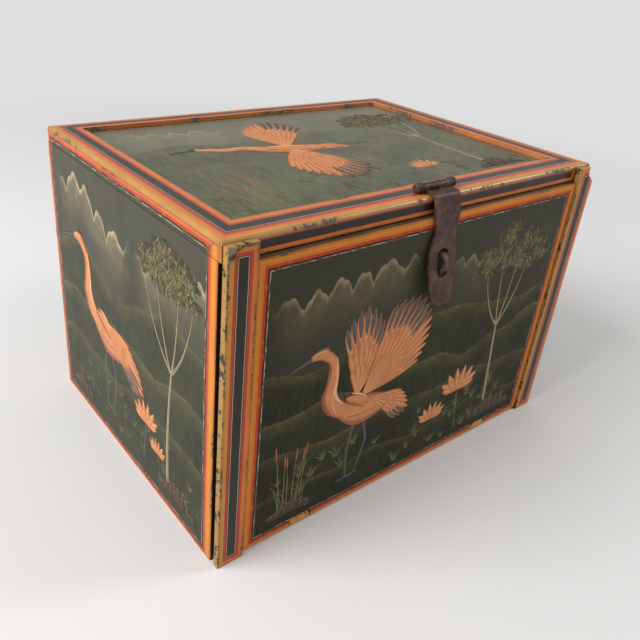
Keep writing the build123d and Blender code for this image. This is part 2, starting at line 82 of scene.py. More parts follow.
def toned(colour: Colour, share: float) -> Colour:
    """A colour made lighter or darker, never brighter than 1."""
    return tuple(min(1.0, part * share) for part in colour)


class Value:
    """A number that varies over a surface, worked on with Python's own operators."""

    def __init__(self, graph: "Graph", socket: Socket) -> None:
        """Wraps a node's output.

        Args:
            graph: the nodes that it belongs to.
            socket: the output that carries the number.
        """
        self.graph = graph
        self.socket = socket

    def __add__(self, other: "Value | float") -> "Value":
        """Sum."""
        return self.graph.math("ADD", self, other)

    __radd__ = __add__

    def __sub__(self, other: "Value | float") -> "Value":
        """Difference."""
        return self.graph.math("SUBTRACT", self, other)

    def __rsub__(self, other: float) -> "Value":
        """Difference from a number."""
        return self.graph.math("SUBTRACT", other, self)

    def __mul__(self, other: "Value | float") -> "Value":
        """Product."""
        return self.graph.math("MULTIPLY", self, other)

    __rmul__ = __mul__

    def __truediv__(self, other: "Value | float") -> "Value":
        """Quotient."""
        return self.graph.math("DIVIDE", self, other)

    def __rtruediv__(self, other: float) -> "Value":
        """Quotient of a number."""
        return self.graph.math("DIVIDE", other, self)

    def __pow__(self, other: float) -> "Value":
        """Power."""
        return self.graph.math("POWER", self, other)

    def __rpow__(self, other: float) -> "Value":
        """Power of a number."""
        return self.graph.math("POWER", other, self)

    def __mod__(self, other: float) -> "Value":
        """Remainder."""
        return self.graph.math("MODULO", self, other)

    def __rmod__(self, other: float) -> "Value":
        """Remainder of a number."""
        return self.graph.math("MODULO", other, self)

    def __abs__(self) -> "Value":
        """Size without sign."""
        return self.graph.math("ABSOLUTE", self)

    def least(self, other: "Value | float") -> "Value":
        """The smaller of two."""
        return self.graph.math("MINIMUM", self, other)

    def most(self, other: "Value | float") -> "Value":
        """The larger of two."""
        return self.graph.math("MAXIMUM", self, other)

    def sine(self) -> "Value":
        """Sine of the value in radians."""
        return self.graph.math("SINE", self)

    def rise(self, low: float, high: float) -> "Value":
        """Smooth step.

        Args:
            low: where the result is 0.
            high: where the result is 1; it may be below low.

        Returns:
            A value from 0 to 1.
        """
        if low > high:
            return 1.0 - self.rise(high, low)
        node = self.graph.node(
            "ShaderNodeMapRange",
            {"interpolation_type": "SMOOTHSTEP", "clamp": True},
            {0: self, 1: low, 2: high, 3: 0.0, 4: 1.0},
        )
        return Value(self.graph, node.outputs[0])


@dataclass(frozen=True)
class Spot:
    """Where a shader is on an object, in millimetres, and which way the surface faces there."""

    x: Value
    y: Value
    z: Value
    normal: tuple[Value, Value, Value]
    vector: Socket


class Graph:
    """Builds the nodes of one material or of the world."""

    def __init__(self, owner: bpy.types.Material | bpy.types.World) -> None:
        """Starts with no nodes.

        Args:
            owner: the material or the world.
        """
        self.owner = owner
        owner.use_nodes = True
        owner.node_tree.nodes.clear()

    def node(self, kind: str, settings: dict | None = None, inputs: dict | None = None) -> bpy.types.Node:
        """Adds a node.

        Args:
            kind: the node's type.
            settings: its properties, and the stops of a ramp as position and colour.
            inputs: numbers, colours or links for its sockets, by name or number.

        Returns:
            The node.
        """
        node = self.owner.node_tree.nodes.new(kind)
        for key, value in (settings or {}).items():
            if key == "stops":
                elements = node.color_ramp.elements
                while len(elements) < len(value):
                    elements.new(0.5)
                for element, (position, colour) in zip(elements, value):
                    element.position = position
                    element.color = (*colour, 1.0)
            else:
                setattr(node, key, value)
        for key, value in (inputs or {}).items():
            self._feed(node.inputs[key], value)
        return node

    def _feed(self, socket: Socket, value: "Value | Paint | float") -> None:
        """Links or sets one socket.

        Args:
            socket: the socket.
            value: a link, a colour or a number.
        """
        if isinstance(value, Value):
            value = value.socket
        if isinstance(value, Socket):
            self.owner.node_tree.links.new(value, socket)
        elif isinstance(value, tuple) and socket.type == "RGBA":
            socket.default_value = (*value, 1.0)
        else:
            socket.default_value = value

    def math(self, operation: str, *terms: "Value | float") -> Value:
        """Adds a Math node and returns its result."""
        node = self.node("ShaderNodeMath", {"operation": operation}, dict(enumerate(terms)))
        return Value(self, node.outputs[0])

    @cached_property
    def spot(self) -> Spot:
        """The place and facing, from Object coordinates.

        Returns:
            The spot, the same one at each use.
        """
        coordinates = self.node("ShaderNodeTexCoord")
        inputs = {0: coordinates.outputs["Object"], "Scale": 1.0 / MM}
        scaled = self.node("ShaderNodeVectorMath", {"operation": "SCALE"}, inputs)
        place = self.node("ShaderNodeSeparateXYZ", None, {0: scaled.outputs[0]})
        facing = self.node("ShaderNodeSeparateXYZ", None, {0: coordinates.outputs["Normal"]})
        x, y, z, *normal = (Value(self, output) for output in (*place.outputs, *facing.outputs))
        return Spot(x, y, z, tuple(normal), scaled.outputs[0])

    def noise(
        self, size: float, detail: float = 2.0, stretch: Triple = (1.0, 1.0, 1.0), shift: float = 0.0
    ) -> Value:
        """Even noise from 0 to 1.

        Args:
            size: the size of its lumps in millimetres.
            detail: how many finer layers it has.
            stretch: how much longer the lumps are along each axis.
            shift: moves the pattern, so that each use differs.

        Returns:
            The noise.
        """
        scale = tuple(1.0 / (size * longer) for longer in stretch)
        placed = self.node(
            "ShaderNodeVectorMath",
            {"operation": "MULTIPLY_ADD"},
            {0: self.spot.vector, 1: scale, 2: (shift, shift * 0.7, shift * 1.3)},
        )
        inputs = {"Vector": placed.outputs[0], "Scale": 1.0, "Detail": detail}
        return Value(self, self.node("ShaderNodeTexNoise", None, inputs).outputs[0])

    def line_noise(self, along: Value, length: float, shift: float) -> Value:
        """Noise along one line, from 0 to 1."""
        inputs = {"W": along / length + shift, "Scale": 1.0, "Detail": 1.0}
        return Value(self, self.node("ShaderNodeTexNoise", {"noise_dimensions": "1D"}, inputs).outputs[0])

    def mix(self, share: Value | float, low: Paint, high: Paint) -> Socket:
        """Mixes two colours, the second by the given share."""
        node = self.node("ShaderNodeMix", {"data_type": "RGBA"}, {0: share, 6: low, 7: high})
        return node.outputs[2]

    def bands(self, distance: Value, stripes: Stripes, soft: float) -> Socket:
        """Colours in stripes by a distance.

        Args:
            distance: the distance.
            stripes: the distance at which each stripe ends, and its colour.
            soft: the width of the change from one to the next.

        Returns:
            The colour's output.
        """
        reach = stripes[-1][0]
        stops: list[tuple[float, Colour]] = []
        start = 0.0
        for end, colour in stripes:
            stops.append((start / reach, colour))
            stops.append((max(start, end - soft) / reach, colour))
            start = end
        return self.node("ShaderNodeValToRGB", {"stops": stops}, {0: distance / reach}).outputs[0]

    def surface(
        self,
        colour: Paint,
        roughness: Value | float,
        height: Value,
        depth: float,
        **others: Value | float,
    ) -> None:
        """Ends a material with its shader.

        Args:
            colour: the base colour.
            roughness: the roughness.
            height: relief from 0 to 1.
            depth: the depth of that relief in millimetres.
            others: what other sockets of the shader get.
        """
        bump = self.node("ShaderNodeBump", None, {"Height": height, "Strength": 1.0, "Distance": depth * MM})
        inputs = {"Base Color": colour, "Roughness": roughness, "Normal": bump.outputs[0], **others}
        shader = self.node("ShaderNodeBsdfPrincipled", None, inputs)
        self.node("ShaderNodeOutputMaterial", None, {0: shader.outputs[0]})


class Side(Enum):
    """A painted side of the box: its normal, the way to the viewer's right on it, and the way up."""

    FRONT = ((0, -1, 0), (1, 0, 0), (0, 0, 1))
    LEFT = ((-1, 0, 0), (0, -1, 0), (0, 0, 1))
    RIGHT = ((1, 0, 0), (0, 1, 0), (0, 0, 1))
    BACK = ((0, 1, 0), (-1, 0, 0), (0, 0, 1))
    TOP = ((0, 0, 1), (1, 0, 0), (0, 1, 0))

    def across(self, spot: Spot, origin: Triple) -> Value:
        """Distance to the viewer's right of an origin."""
        return self._along((spot.x, spot.y, spot.z), origin, self.value[1])

    def up(self, spot: Spot, origin: Triple) -> Value:
        """Distance above an origin."""
        return self._along((spot.x, spot.y, spot.z), origin, self.value[2])

    def facing(self, spot: Spot) -> Value:
        """1 where the surface faces out of this side."""
        return self._along(spot.normal, (0.0, 0.0, 0.0), self.value[0]).rise(0.25, 0.45)

    @staticmethod
    def _along(parts: tuple[Value, Value, Value], origin: Triple, axis: tuple[int, int, int]) -> Value:
        """Distance from an origin along a signed axis.

        Args:
            parts: the place, or the normal, along x, y and z.
            origin: where the distance is 0.
            axis: the axis, as a vector of length 1.

        Returns:
            The distance.
        """
        index = next(i for i, part in enumerate(axis) if part)
        if axis[index] > 0:
            return parts[index] - float(origin[index])
        return float(origin[index]) - parts[index]

    def matrix(self, origin: Triple) -> Matrix:
        """Takes millimetres on the side to metres on the box.

        Args:
            origin: the corner of the side that is 0 across and 0 up.

        Returns:
            The matrix.
        """
        normal, right, up = (Vector(axis) for axis in self.value)
        turn = Matrix((right, up, normal)).transposed().to_4x4()
        return Matrix.Translation(Vector(origin) * MM) @ turn @ Matrix.Scale(MM, 4)


@dataclass(frozen=True)
class Canvas:
    """What hills and clouds are painted on: the place on it, its brush marks and its three ground colours."""

    graph: Graph
    across: Value
    up: Value
    brush: Value
    wash: Value
    marks: Value
    dim: Colour
    sky: Colour
    meadow: Colour


@dataclass(frozen=True)
class Hill:
    """A crest across a landscape: its height, swell and length, and how far its light reaches down."""

    height: float
    swell: float
    length: float
    light: float
    strength: float

    def paint(self, canvas: Canvas, under: Paint, shift: float) -> Socket:
        """Paints the hill over a colour.

        Args:
            canvas: what it is painted on.
            under: the colour.
            shift: moves its outline, so that each hill differs.

        Returns:
            The colour's output.
        """
        graph, brush, wash, marks = canvas.graph, canvas.brush, canvas.wash, canvas.marks
        crest = (graph.line_noise(canvas.across, self.length, shift) - 0.5) * (2.0 * self.swell)
        below = crest + self.height + (marks - 0.5) * 2.4 - canvas.up
        broken = (brush * 1.6 + wash - 0.8).rise(0.1, 0.9)
        rim = below.rise(4.0, 0.4) * broken * 0.55 + below.rise(self.light, 0.0) ** 2.0 * (brush * 0.9)
        ground = graph.mix((wash + marks * 1.2 - 0.75).rise(0.0, 0.8), canvas.dim, canvas.meadow)
        slope = graph.mix((rim * self.strength).least(1.0), ground, PAINTS.hill)
        return graph.mix(below.rise(-0.4, 1.0), under, slope)


@dataclass(frozen=True)
class CloudBank:
    """A bank of cloud: its height, how far its outline swells, its puffs' width, its start and end."""

    height: float
    swell: float
    puff: float
    start: float
    end: float
    strength: float

    def paint(self, canvas: Canvas, under: Paint, shift: float) -> Socket:
        """Paints the cloud over a colour.

        Args:
            canvas: what it is painted on.
            under: the colour.
            shift: moves its outline, so that each bank differs.

        Returns:
            The colour's output.
        """
        graph, across, up, brush = canvas.graph, canvas.across, canvas.up, canvas.brush
        hull = (graph.line_noise(across, self.puff * 3.6, shift) - 0.5) * (2.0 * self.swell)
        drift = graph.line_noise(across, self.puff * 2.6, shift + 40.0) * 2.6
        turn = math.pi / self.puff
        puffs = abs((across * turn + drift).sine())
        puffs = puffs + abs((across * (2.3 * turn) + drift * 1.5).sine()) * 0.24
        below = hull + puffs * (self.puff * 0.50) + self.height + (brush - 0.5) * 0.8 - up
        reach = across.rise(self.start, self.start + 30.0) * across.rise(self.end + 1.0, self.end - 30.0)
        body = below.rise(-0.3, 0.8) * reach
        rim = below.rise(8.0, 0.5) ** 1.4 * (brush * 1.3)
        haze = hull + self.puff * 0.3 + self.height - up
        glow = haze.rise(42.0, 0.0) ** 1.2 * (brush * 0.5)
        covered = graph.mix(body, under, canvas.sky)
        return graph.mix(((rim + glow) * body * self.strength).least(1.0), covered, PAINTS.cloud)


@dataclass(frozen=True)
class Landscape:
    """A dim painted ground with lit crests and cream-edged clouds."""

    height: float
    seed: float
    hills: tuple[Hill, ...]
    clouds: tuple[CloudBank, ...] = ()
    # lift scales the ground, sky and meadow colours; on the lid and the ends it lightens them as painted
    # sheen
    lift: float = 1.0

    def colour(self, graph: Graph, across: Value, up: Value, upright: Triple) -> Socket:
        """Paints the landscape.

        Args:
            graph: the material's nodes.
            across: distance from the picture's left edge.
            up: distance above its foot.
            upright: how long brush marks are along each axis.

        Returns:
            The colour's output.
        """
        brush = graph.noise(9.0, 4.0, shift=self.seed)
        wash = graph.noise(60.0, 3.0, shift=self.seed + 3.0)
        marks = graph.noise(2.6, 4.0, upright, self.seed + 5.0)
        # the lift lightens or darkens the ground colours; where it lightens them it is painted sheen
        dim, sky, meadow = (toned(paint, self.lift) for paint in (PAINTS.ground, PAINTS.sky, PAINTS.meadow))
        canvas = Canvas(graph, across, up, brush, wash, marks, dim, sky, meadow)
        shade = (up / self.height + (wash - 0.5) * 0.35 + (brush - 0.5) * 0.3).rise(0.30, 0.95)
        colour = graph.mix(shade, dim, sky)
        for i, bank in enumerate(self.clouds):
            colour = bank.paint(canvas, colour, self.seed + 11.0 * i)
        for i, hill in enumerate(self.hills):
            colour = hill.paint(canvas, colour, self.seed + 7.0 * i)
        return colour


@dataclass(frozen=True)
class Wear:
    """How paint is lost: how far in from edges, how much of it in chips, and a seed for the pattern."""

    edge: float
    chips: float
    seed: float

    def apply(self, graph: Graph, colour: Paint, edge: Value) -> tuple[Socket, Value]:
        """Wears a painted colour.

        Args:
            graph: the material's nodes.
            colour: the painted colour.
            edge: distance to the nearest edge in millimetres.

        Returns:
            The worn colour and the mask of the lost paint.
        """
        flake = graph.noise(5.0, 5.0, shift=self.seed + 1.0)
        speck = graph.noise(2.2, 3.0, shift=self.seed + 5.0)
        near = edge.rise(self.edge * 1.6, 0.0)
        patch = graph.noise(34.0, 4.0, shift=self.seed + 9.0)
        rubbed = near * patch.rise(0.48, 0.60) * (0.1 + 0.18 * self.chips)
        lost = (flake * 0.75 + speck * 0.35 + rubbed).rise(0.765, 0.80)
        dirt = (patch * 0.7 + speck * 0.25 + near * 0.25).rise(0.42, 0.88) * 0.6
        soiled = graph.mix(dirt, colour, graph.mix(0.72, colour, PAINTS.grime))
        bare = graph.mix(speck, PAINTS.chipped, PAINTS.grime)
        return graph.mix(lost, soiled, bare), lost


def edge_distance(across: Value, up: Value, width: float, height: float) -> Value:
    """Distance to the nearest edge of a rectangle."""
    return across.least(width - across).least(up).least(height - up)


@dataclass(frozen=True)
class Varnish:
    """Old varnish over paint: roughness, depth of the relief and refractive index."""

    gloss: float = 0.40
    relief: float = 0.16
    strength: float = 1.38

    def close(self, graph: Graph, colour: Paint, lost: Value, step: Value | None = None) -> None:
        """Ends a painted material.

        Args:
            graph: the material's nodes.
            colour: the worn colour.
            lost: the mask of lost paint.
            step: other relief, such as the edges of stripes.
        """
        grain = graph.noise(1.3, 3.0, shift=21.0)
        wave = graph.noise(26.0, 2.0, shift=23.0)
        smear = graph.noise(18.0, 4.0, shift=29.0)
        height = grain * 0.25 + wave * 2.2 - lost * 0.9
        if step is not None:
            height = height + step * 0.5
        roughness = (smear - 0.5) * 0.22 + self.gloss + lost * 0.35
        graph.surface(colour, roughness, height, self.relief, IOR=self.strength)


class Finish:
    """What every finish shares: it makes a material from its own nodes."""

    def material(self, name: str) -> bpy.types.Material:
        """Makes the finish's material.

        Args:
            name: the material's name.

        Returns:
            The material.
        """
        graph = Graph(bpy.data.materials.new(name))
        self.lay(graph)
        return graph.owner

    def lay(self, graph: Graph) -> None:
        """Adds the finish's nodes to an empty material."""
        raise NotImplementedError


@dataclass(frozen=True)
class BareWood(Finish):
    """Unpainted softwood, darkened and handled: its colour and how long its grain is along each axis."""

    tone: Colour
    grain: Triple

    def _fibre(self, graph: Graph) -> Value:
        """Fine fibres along the grain, from 0 to 1."""
        return graph.noise(1.6, 3.0, tuple(g * 4.0 if g > 1 else 1.0 for g in self.grain), 31.0)

    def colour(self, graph: Graph) -> Socket:
        """Grained wood colour.

        Args:
            graph: the material's nodes.

        Returns:
            The colour's output.
        """
        rings = abs((graph.noise(11.0, 3.0, self.grain, 37.0) * 34.0).sine())
        dark = toned(self.tone, 0.52)
        wood = graph.mix(rings * 0.55, toned(self.tone, 1.35), self.tone)
        wood = graph.mix(self._fibre(graph).rise(0.35, 0.75) * 0.7, wood, dark)
        stain = graph.noise(45.0, 4.0, shift=41.0).rise(0.5, 0.8) * 0.5
        return graph.mix(stain, wood, dark)

    def lay(self, graph: Graph) -> None:
        """Adds the bare wood's nodes."""
        rubbed = graph.noise(25.0, 3.0, shift=43.0)
        graph.surface(self.colour(graph), rubbed * 0.2 + 0.62, self._fibre(graph), 0.25)


@dataclass(frozen=True)
class Panel(Finish):
    """A painted side of the box, with a landscape inside a striped border.

    The trim is what its border loses at the left, at the right, at the foot and at the head.
    """

    side: Side
    origin: Triple
    width: float
    height: float
    stripes: Stripes
    landscape: Landscape
    wear: Wear
    varnish: Varnish = Varnish()
    trim: tuple[float, float, float, float] = (0.0, 0.0, 0.0, 0.0)

    def lay(self, graph: Graph) -> None:
        """Paints the outside and leaves bare wood elsewhere.

        Args:
            graph: the material's nodes.
        """
        spot = graph.spot
        across, up = self.side.across(spot, self.origin), self.side.up(spot, self.origin)
        left, right, foot, head = self.trim
        within = (across + left).least((self.width + right) - across).least(up + foot)
        within = within.least((self.height + head) - up)
        ragged = within + (graph.noise(14.0, 3.0, shift=self.wear.seed + 2.0) - 0.5) * 0.9
        upright = tuple(4.0 if part else 1.0 for part in self.side.value[2])
        scene = self.landscape.colour(graph, across, up, upright)
        reach = self.stripes[-1][0]
        colour = graph.mix(ragged.rise(reach - 0.3, reach), self._border(graph, ragged, reach), scene)
        edge = edge_distance(across, up, self.width, self.height)
        worn, lost = self.wear.apply(graph, colour, edge)
        painted = graph.mix(self.side.facing(spot), self._bare(graph), worn)
        self.varnish.close(graph, painted, lost, ragged.rise(reach + 0.2, reach - 0.2))

    def _border(self, graph: Graph, ragged: Value, reach: float) -> Socket:
        """Colours the border, with yellow tints and a broken black line along its inside.

        Args:
            graph: the material's nodes.
            ragged: distance in from the border's uneven outside.
            reach: how wide the border is.

        Returns:
            The colour's output.
        """
        border = graph.bands(ragged, self.stripes, 0.25)
        tint = graph.noise(7.0, 4.0, shift=self.wear.seed + 3.0)
        border = graph.mix(tint.rise(0.48, 0.70) * 0.5, border, graph.mix(0.55, border, PAINTS.yellow))
        thin = ragged.rise(reach - 2.2, reach - 1.7) * ragged.rise(reach, reach - 0.5)
        return graph.mix(thin * tint.rise(0.40, 0.56) * 0.75, border, PAINTS.black)

    def _bare(self, graph: Graph) -> Socket:
        """Colours what isn't the outside: the inside, and the two upright edges of an end, the front one
        near-black as painted shade in the gap behind the stile.

        Args:
            graph: the material's nodes.

        Returns:
            The colour's output.
        """
        grain = (9.0, 1.0, 1.0) if self.side is Side.TOP else (8.0, 8.0, 1.0)
        bare = BareWood((0.12, 0.075, 0.040), grain).colour(graph)
        if self.side in (Side.LEFT, Side.RIGHT):
            # painted shade: the end board's front edge is painted near-black for the shadow in the gap behind
            # the stile
            bare = graph.mix(Side.FRONT.facing(graph.spot), bare, PAINTS.gap)
            bare = graph.mix(Side.BACK.facing(graph.spot), bare, PAINTS.orange)
        return bare


@dataclass(frozen=True)
class StileFinish(Finish):
    """Ringed stripes on the front stiles, yellow along the left edge of each and orange along its right.

    The left stile starts at start and the right one a pitch further on. The worn corner is at its top left.
    """

    start: float
    pitch: float
    width: float
    height: float
    bare_corner: float
    seed: float
    slack: float = 5.0
    stripes: Stripes = (
        (4.3, PAINTS.orange),
        (6.5, PAINTS.red),
        (7.0, PAINTS.black),
        (7.6, PAINTS.pale),
        (11.0, PAINTS.black),
    )

    def lay(self, graph: Graph) -> None:
        """Paints the stile's face and wears it down to the wood.

        Args:
            graph: the material's nodes.
        """
        spot = graph.spot
        across, up = (spot.x + (self.slack - self.start)) % self.pitch - self.slack, spot.z
        edge = edge_distance(across, up, self.width, self.height)
        wobble = (graph.noise(12.0, 3.0, shift=self.seed) - 0.5) * 0.8
        painted = graph.bands(edge + wobble, self.stripes, 0.2)
        aged = across.rise(4.6, 4.2) * 0.75
        painted = graph.mix(aged * edge.rise(4.6, 4.2), painted, PAINTS.yellow)
        worn, lost = Wear(2.2, 1.0, self.seed + 4.0).apply(graph, painted, edge)
        flake = graph.noise(7.0, 4.0, shift=self.seed + 6.0)
        chip = graph.noise(3.0, 4.0, shift=self.seed + 8.0)
        corner = (up - (self.height - 12.0)) / 12.0 - across / 11.0 + (flake - 0.5) * 1.4
        corner = corner.rise(0.10, 0.16) * self.bare_corner
        sliver = across.rise(1.7, 0.5).most((self.width - across).rise(0.9, 0.3)) * flake.rise(0.46, 0.52)
        bare = graph.mix(chip.rise(0.40, 0.62), (0.050, 0.046, 0.026), (0.26, 0.19, 0.105))
        face = graph.mix(corner.most(sliver), worn, bare)
        side = graph.mix(flake.rise(0.56, 0.62), graph.mix(chip, PAINTS.yellow, PAINTS.chipped), PAINTS.grime)
        colour = graph.mix(Side.FRONT.facing(spot), side, face)
        Varnish(0.42, 0.2).close(graph, colour, lost.most(corner), edge.rise(7.8, 7.2))


@dataclass(frozen=True)
class LidFrameFinish(Finish):
    """Mitred stripes round the lid's raised frame, with a red line along the top of its front edge."""

    half: float = 185.5
    front: float = -130.5
    back: float = 135.0
    widths: Triple = (26.0, 23.0, 17.0)
    brow: Point = (247.6, 247.3)
    stripes: Stripes = (
        (0.15, PAINTS.yellow),
        (0.29, PAINTS.orange),
        (0.40, PAINTS.red),
        (0.43, PAINTS.black),
        (0.455, PAINTS.pale),
        (0.73, PAINTS.black),
        (0.82, PAINTS.red),
        (1.0, PAINTS.orange),
    )

    def lay(self, graph: Graph) -> None:
        """Paints the stripes by the share of each board's width, so that they meet at the mitres.

        Args:
            graph: the material's nodes.
        """
        spot = graph.spot
        front_width, side_width, back_width = self.widths
        share = ((spot.y - self.front) / front_width).least((self.half - abs(spot.x)) / side_width)
        share = share.least((self.back - spot.y) / back_width)
        wobble = (graph.noise(13.0, 3.0, shift=51.0) - 0.5) * 0.035
        top = graph.bands(share + wobble, self.stripes, 0.012)
        brow = (spot.z + (graph.noise(12.0, 2.0, shift=53.0) - 0.5) * 0.5).rise(*self.brow)
        brow = brow * spot.normal[2].rise(0.5, 0.3) * share.rise(0.2, 0.05)
        colour = graph.mix(brow, top, PAINTS.red)
        edge = (share * 20.0).least((1.0 - share) * 20.0)
        worn, lost = Wear(1.8, 0.9, 57.0).apply(graph, colour, edge)
        Varnish(0.36, 0.16, 1.7).close(graph, worn, lost, share.rise(0.455, 0.43))


@dataclass(frozen=True)
class ApronFinish(Finish):
    """The lid's front edge: a dark band over an orange one, closed at both ends."""

    half: float = 160.0
    foot: float = 237.0
    height: float = 9.5
    stripes: Stripes = (
        (0.7, PAINTS.black),
        (3.3, PAINTS.orange),
        (3.8, PAINTS.red),
        (9.0, PAINTS.black),
        (9.6, PAINTS.red),
    )

    def lay(self, graph: Graph) -> None:
        """Paints the front of the edge and leaves the rest bare.

        Args:
            graph: the material's nodes.
        """
        spot = graph.spot
        wobble = (graph.noise(15.0, 3.0, shift=61.0) - 0.5) * 0.8
        rise = spot.z - self.foot + wobble
        ends = (abs(spot.x) + wobble).rise(self.half - 0.2, self.half + 0.2)
        colour = graph.mix(ends, graph.bands(rise, self.stripes, 0.2), PAINTS.orange)
        edge = rise.least(self.height - rise).most(0.2)
        worn, lost = Wear(1.4, 0.8, 63.0).apply(graph, colour, edge)
        bare = BareWood((0.13, 0.085, 0.05), (9.0, 1.0, 1.0)).colour(graph)
        Varnish(0.4).close(graph, graph.mix(Side.FRONT.facing(spot), bare, worn), lost)


@dataclass(frozen=True)
class DrawerPaint(Finish):
    """A red drawer front with an orange border and a pale line, between its low and its high corner."""

    low: Triple
    high: Triple
    stripes: Stripes = (
        (3.4, PAINTS.orange),
        (4.2, PAINTS.black),
        (4.9, PAINTS.pale),
        (12.0, (0.20, 0.030, 0.016)),
    )

    def lay(self, graph: Graph) -> None:
        """Paints the drawer's face and leaves the rest bare.

        Args:
            graph: the material's nodes.
        """
        spot = graph.spot
        across, up = spot.x - self.low[0], spot.z - self.low[2]
        edge = edge_distance(across, up, self.high[0] - self.low[0], self.high[2] - self.low[2])
        wobble = (graph.noise(10.0, 3.0, shift=95.0) - 0.5) * 0.8
        face = graph.bands(edge + wobble, self.stripes, 0.2)
        worn, lost = Wear(1.6, 0.8, 97.0).apply(graph, face, edge)
        bare = BareWood((0.22, 0.14, 0.08), (1.0, 9.0, 1.0)).colour(graph)
        Varnish(0.42).close(graph, graph.mix(Side.FRONT.facing(spot), bare, worn), lost)


@dataclass(frozen=True)
class ForgedIron(Finish):
    """Hand-forged iron with a brown patina and a little fresh rust."""

    dark: Colour = (0.034, 0.016, 0.012)
    brown: Colour = (0.088, 0.036, 0.025)
    rust: Colour = (0.15, 0.055, 0.028)
    roughness: float = 0.33

    def lay(self, graph: Graph) -> None:
        """Adds the dents, scale and rust.

        Args:
            graph: the material's nodes.
        """
        dent = graph.noise(6.5, 2.0, shift=71.0)
        scale = graph.noise(2.4, 5.0, shift=73.0)
        bloom = graph.noise(9.0, 5.0, shift=79.0)
        colour = graph.mix((scale * 0.7 + dent * 0.4).rise(0.35, 0.75), self.dark, self.brown)
        colour = graph.mix(bloom.rise(0.56, 0.70) * 0.6, colour, self.rust)
        metal = bloom.rise(0.62, 0.4) * 0.45
        graph.surface(colour, scale * 0.35 + self.roughness, dent * 1.6 + scale * 0.45, 0.45, Metallic=metal)


@dataclass(frozen=True)
class OchreIron(Finish):
    """Iron under yellow ochre paint that has chipped down to the metal."""

    metal: Colour = (0.06, 0.035, 0.025)

    def lay(self, graph: Graph) -> None:
        """Adds the paint and its chips.

        Args:
            graph: the material's nodes.
        """
        lost = graph.noise(3.2, 4.0, shift=83.0).rise(0.58, 0.63)
        tint = graph.noise(8.0, 3.0, shift=85.0)
        paint = graph.mix(tint.rise(0.3, 0.7), PAINTS.yellow, PAINTS.orange)
        graph.surface(graph.mix(lost, paint, self.metal), lost * 0.2 + 0.45, tint - lost * 0.8, 0.25)


@dataclass(frozen=True)
class TurnedWood(Finish):
    """Dark turned hardwood, polished by hands."""

    pale: Colour = (0.13, 0.055, 0.028)
    dark: Colour = (0.055, 0.024, 0.014)

    def lay(self, graph: Graph) -> None:
        """Adds the wood's rings and its uneven polish.

        Args:
            graph: the material's nodes.
        """
        ring = graph.noise(0.8, 2.0, (12.0, 1.0, 12.0), 91.0)
        tint = graph.noise(6.0, 3.0, shift=93.0)
        graph.surface(graph.mix(tint.rise(0.3, 0.75), self.pale, self.dark), tint * 0.2 + 0.3, ring, 0.1)


@dataclass(frozen=True)
class Pigment(Finish):
    """Paint laid with a brush: lighter along the middle of a stroke than at its sides."""

    name: str
    shade: Colour
    light: Colour
    streak: float = 0.35

    def lay(self, graph: Graph) -> None:
        """Shades the strokes by how high they stand, and adds streaks and flecks.

        Args:
            graph: the material's nodes.
        """
        crest = graph.node("ShaderNodeAttribute", {"attribute_name": "crest"})
        body = Value(graph, crest.outputs["Fac"])
        streak = graph.noise(2.6, 3.0, shift=101.0)
        patch = graph.noise(14.0, 3.0, shift=103.0)
        colour = graph.mix((body + (streak - 0.5) * self.streak).rise(0.25, 0.95), self.shade, self.light)
        colour = graph.mix(patch.rise(0.52, 0.8) * 0.6, colour, toned(self.light, 0.6))
        fleck = (streak * 0.6 + graph.noise(1.1, 3.0, shift=107.0) * 0.5).rise(0.74, 0.80)
        colour = graph.mix(fleck * 0.8, colour, PAINTS.ground)
        graph.surface(colour, patch * 0.15 + 0.36, streak, 0.08, IOR=1.34)


@cache
def pigment_material(pigment: Pigment) -> bpy.types.Material:
    """The material of a pigment, made once."""
    return pigment.material(f"pigment_{pigment.name}")


SALMON = Pigment("salmon", (0.25, 0.070, 0.024), (0.60, 0.225, 0.082))
SIENNA = Pigment("sienna", (0.17, 0.048, 0.018), (0.34, 0.105, 0.038))
BLUSH = Pigment("blush", (0.60, 0.27, 0.12), (0.76, 0.40, 0.20))
CANOPY = Pigment("canopy", (0.011, 0.011, 0.006), (0.026, 0.025, 0.011), 0.7)
SLATE = Pigment("slate", (0.014, 0.014, 0.013), (0.080, 0.082, 0.074))
LEAF = Pigment("leaf", (0.045, 0.038, 0.012), (0.23, 0.175, 0.060), 0.8)
OLIVE = Pigment("olive", (0.018, 0.019, 0.008), (0.075, 0.070, 0.026), 0.8)
GRASS = Pigment("grass", (0.024, 0.030, 0.010), (0.105, 0.110, 0.040))
BARK = Pigment("bark", (0.050, 0.037, 0.022), (0.26, 0.20, 0.125))
ROCK = Pigment("rock", (0.012, 0.008, 0.006), (0.056, 0.036, 0.022), 0.8)
CREAM = Pigment("cream", (0.28, 0.20, 0.11), (0.58, 0.46, 0.27))


@dataclass(frozen=True)
class Stroke:
    """One brush stroke: points on a picture and half its width at each, in millimetres."""

    points: tuple[Point, ...]
    widths: tuple[float, ...]
    layer: int = 0

    def moved(self, place: Point, size: float, flip: bool, turn: float, layer: int) -> "Stroke":
        """The stroke placed elsewhere.

        Args:
            place: where its origin goes.
            size: how much larger it becomes.
            flip: whether left and right change places first.
            turn: how far it is turned, in degrees.
            layer: how many layers it is raised.

        Returns:
            The new stroke.
        """
        c, s = math.cos(math.radians(turn)), math.sin(math.radians(turn))
        points = []
        for x, y in self.points:
            x = -x if flip else x
            points.append((place[0] + size * (x * c - y * s), place[1] + size * (x * s + y * c)))
        return Stroke(tuple(points), tuple(w * size for w in self.widths), self.layer + layer)


